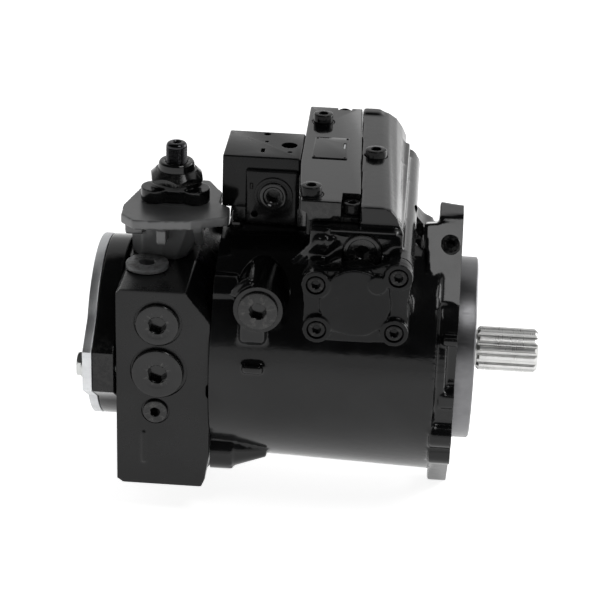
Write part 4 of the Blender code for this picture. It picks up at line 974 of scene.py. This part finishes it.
cut(
    valve,
    block(-240.0, -160.0, -50.0, 60.0, 50.0, 63.3),
    cyl("Z", VX, VY, 100.0, 110.0, 40.0, seg=64),
    cyl("Z", VX, VY, 74.0, 120.0, 9.3, seg=48),
    cyl("Z", VX, 22.0, 50.0, 80.0, 4.0, seg=28),
    cyl("Y", VX, 77.0, 2.0, 24.0, 3.0, seg=24),
)
done(valve, "pressure_valve_casting", VALVE_PAINT_WITH_PAINTED_LIGHT, replaces="pressure_valve_body")

cap = cyl("Z", VX, VY + 2.0, 100.3, 113.4, 15.5, seg=72)
join(
    cap,
    cyl("Z", VX - 13.5, VY - 6.0, 100.3, 109.8, 10.2, seg=56),
    cyl("Z", VX + 13.5, VY - 5.0, 100.3, 109.8, 10.2, seg=56),
    cyl("Z", VX, VY + 2.0, 108.6, 113.6, 17.5, 16.0, seg=72),
)
cast(cap, 0.7, 4)
join(cap, cyl("Z", VX, VY, 111.0, 113.9, 13.0, seg=72), cyl("Z", VX, VY, 90.0, 101.5, 8.9, seg=48))
cut(cap, cyl("Z", VX, VY, 60.0, 130.0, 5.6, seg=48), cut(block(VX - 40, VX + 40, VY - 40, VY + 40, 80.0, 100.35), cyl("Z", VX, VY, 70.0, 110.0, 9.0, seg=48)))
done(cap, "pressure_valve_cap_fine", PAINT_CAST, replaces="pressure_valve_cap")
nut = cyl("Z", VX, VY, 114.3, 121.5, 20.0, seg=6, turn=math.radians(12))
shape(nut, [turned("Z", VX, VY, [(114.3, 0), (114.3, 19.2), (116.2, 19.6), (121.5, 14.2), (121.5, 0)], seg=72)], "INTERSECT")
join(nut, turned("Z", VX, VY, soft_profile([(120.0, 7.0), (120.0, 13.2), (121.8, 12.7), (126.0, 12.2), (127.2, 11.2), (127.2, 7.0)], 0.5), seg=72))
cut(nut, cyl("Z", VX, VY, 100.0, 140.0, 7.7, seg=60), cyl("Z", VX, VY, 126.4, 128.0, 7.6, 10.0, seg=60))
done(nut, "lock_nut_fine", PAINT_BOLT, replaces="lock_nut")

profile = [(140.4, 0), (140.4, 5.0), (140.0, 6.0), (139.0, 6.9), (138.2, 7.1)]
z = 137.4
while z > 117.0:
    profile += [(z, 7.25), (z - 0.45, 6.75)]
    z -= 0.9
profile += [(115.2, 7.2), (114.6, 6.7), (114.6, 5.2), (84.6, 5.2), (84.0, 4.6), (84.0, 0)]
spindle = turned("Z", VX, VY, profile, seg=60)
cut(spindle, cyl("Z", VX, VY, 133.4, 150.0, 3.2, seg=6), cyl("Z", VX, VY, 139.7, 143.4, 2.9, 6.0, seg=36))
done(spindle, "adjusting_spindle_fine", SPINDLE_STEEL, body="adjusting_spindle", replaces="adjusting_spindle", angle=50)

# ------------------------------------------------ inner parts kept as packed

INNER = {
    "cylinder_block": BLOCK_STEEL, "retaining_plate": PLATE_STEEL, "boost_rotor": SINTERED, "boost_ring": SINTERED,
    "valve_plate": BRONZE, "cradle_bearing_upper": BRONZE, "cradle_bearing_lower": BRONZE, "swashplate": TURNED_STEEL,
    "stroking_piston": GROUND_STEEL, "control_spool": GROUND_STEEL, "relief_poppet_upper": GROUND_STEEL, "relief_poppet_lower": GROUND_STEEL,
    "front_bearing": TURNED_STEEL, "rear_bearing": TURNED_STEEL,
}
for i in range(9):
    INNER[f"piston_{i + 1}"] = TURNED_STEEL
for node, material in INNER.items():
    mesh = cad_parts[node].data
    if not mesh.materials:
        mesh.materials.append(material)
    for i in range(len(mesh.materials)):
        mesh.materials[i] = material


# ------------------------------------------------------- floor, light, camera


def floor_look():
    k = Look("pale_floor", IOR=1.3, Metallic=0.0, Roughness=0.9)
    k.shader.inputs["Emission Strength"].default_value = FLOOR_GLOW
    tint = k.mix(k.span(k.noise(1.6, 3.0), 0.3, 0.7), (0.985, 0.985, 0.985), (1.0, 1.0, 1.0))
    k.set("Base Color", k.mix(0.5, tint, (0.9, 0.9, 0.9)))
    k.set("Emission Color", tint)
    k.shader.inputs["Specular IOR Level"].default_value = 0.0
    return k.material


FLOOR_GLOW = 0.86
mesh = bpy.data.meshes.new("floor")
mesh.from_pydata([(-30, -30, 0), (30, -30, 0), (30, 30, 0), (-30, 30, 0)], [], [(0, 1, 2, 3)])
floor = made(mesh, "floor")
floor.location.z = -0.0006
floor.data.materials.append(floor_look())

world = bpy.data.worlds.new("studio")
bpy.context.scene.world = world
world.use_nodes = True
tree = world.node_tree
back = tree.nodes["Background"]
coords = tree.nodes.new("ShaderNodeTexCoord")
parts_ = tree.nodes.new("ShaderNodeSeparateXYZ")
tree.links.new(coords.outputs["Generated"], parts_.inputs[0])


def wmath(operation, a, b=None, clamp=False):
    n = tree.nodes.new("ShaderNodeMath")
    n.operation, n.use_clamp = operation, clamp
    for i, v in enumerate((a, b)):
        if v is None:
            continue
        if isinstance(v, (int, float)):
            n.inputs[i].default_value = v
        else:
            tree.links.new(v, n.inputs[i])
    return n.outputs[0]


def wspan(source, lo, hi, a=0.0, b=1.0):
    n = tree.nodes.new("ShaderNodeMapRange")
    n.interpolation_type = "SMOOTHSTEP"
    for i, v in enumerate((lo, hi, a, b)):
        n.inputs[i + 1].default_value = v
    tree.links.new(source, n.inputs[0])
    return n.outputs[0]


X, Y, Z = parts_.outputs
# a low white band all round, a dark hood above it on the near side, and a bright wall behind
low = wspan(Z, math.sin(math.radians(11.6)), math.sin(math.radians(13.4)), 1.0, 0.0)
behind = wmath("MULTIPLY", wmath("MULTIPLY", wspan(Y, 0.10, 0.40), wspan(Z, math.sin(math.radians(52)), math.sin(math.radians(66)), 1.0, 0.0)), 0.72)
right = wmath("MULTIPLY", wmath("MULTIPLY", wspan(X, 0.45, 0.75), wspan(Y, -0.35, 0.1)), wspan(Z, 0.70, 0.86, 1.0, 0.0))
level = wmath("MAXIMUM", wmath("MAXIMUM", low, behind), right)
dark = wmath("MAXIMUM", level, 0.035)
tree.links.new(wmath("MULTIPLY", dark, 1.0), back.inputs["Strength"])
back.inputs["Color"].default_value = (1.0, 1.0, 1.0, 1.0)


def area(name, at, aim, size, power, size_y=None, colour=(1, 1, 1)):
    light = bpy.data.lights.new(name, "AREA")
    light.shape = "RECTANGLE"
    light.size, light.size_y = size, size_y or size
    light.energy = power
    light.color = colour
    obj = bpy.data.objects.new(name, light)
    bpy.context.scene.collection.objects.link(obj)
    obj.location = at
    obj.rotation_euler = (Vector(aim) - Vector(at)).to_track_quat("-Z", "Y").to_euler()
    return obj


area("right_softbox", (1.30, 0.75, 0.55), (0.02, 0.0, 0.14), 0.9, 9.0, 0.9)
area("ear_softbox", (0.47, -0.46, 1.24), (0.09, -0.03, 0.19), 0.45, 3.0, 0.45)

az, el, roll = math.radians(3.5), math.radians(25.0), math.radians(1.9)
target = place(-109.8, 0, 28.6)
away = Vector((math.sin(az) * math.cos(el), -math.cos(az) * math.cos(el), math.sin(el)))
right_ = (-away).cross(Vector((0, 0, 1))).normalized()
up_ = right_.cross(-away)
r_ = right_ * math.cos(roll) + up_ * math.sin(roll)
u_ = -right_ * math.sin(roll) + up_ * math.cos(roll)
camera_data = bpy.data.cameras.new("camera")
camera_data.lens, camera_data.sensor_width = 120.0, 36.0
camera_data.clip_start, camera_data.clip_end = 0.05, 100.0
camera = bpy.data.objects.new("camera", camera_data)
bpy.context.scene.collection.objects.link(camera)
m = Matrix((r_, u_, away)).transposed().to_4x4()
m.translation = target + away * 1.4
camera.matrix_world = m
bpy.context.scene.camera = camera
bpy.context.scene.view_settings.view_transform = "Standard"
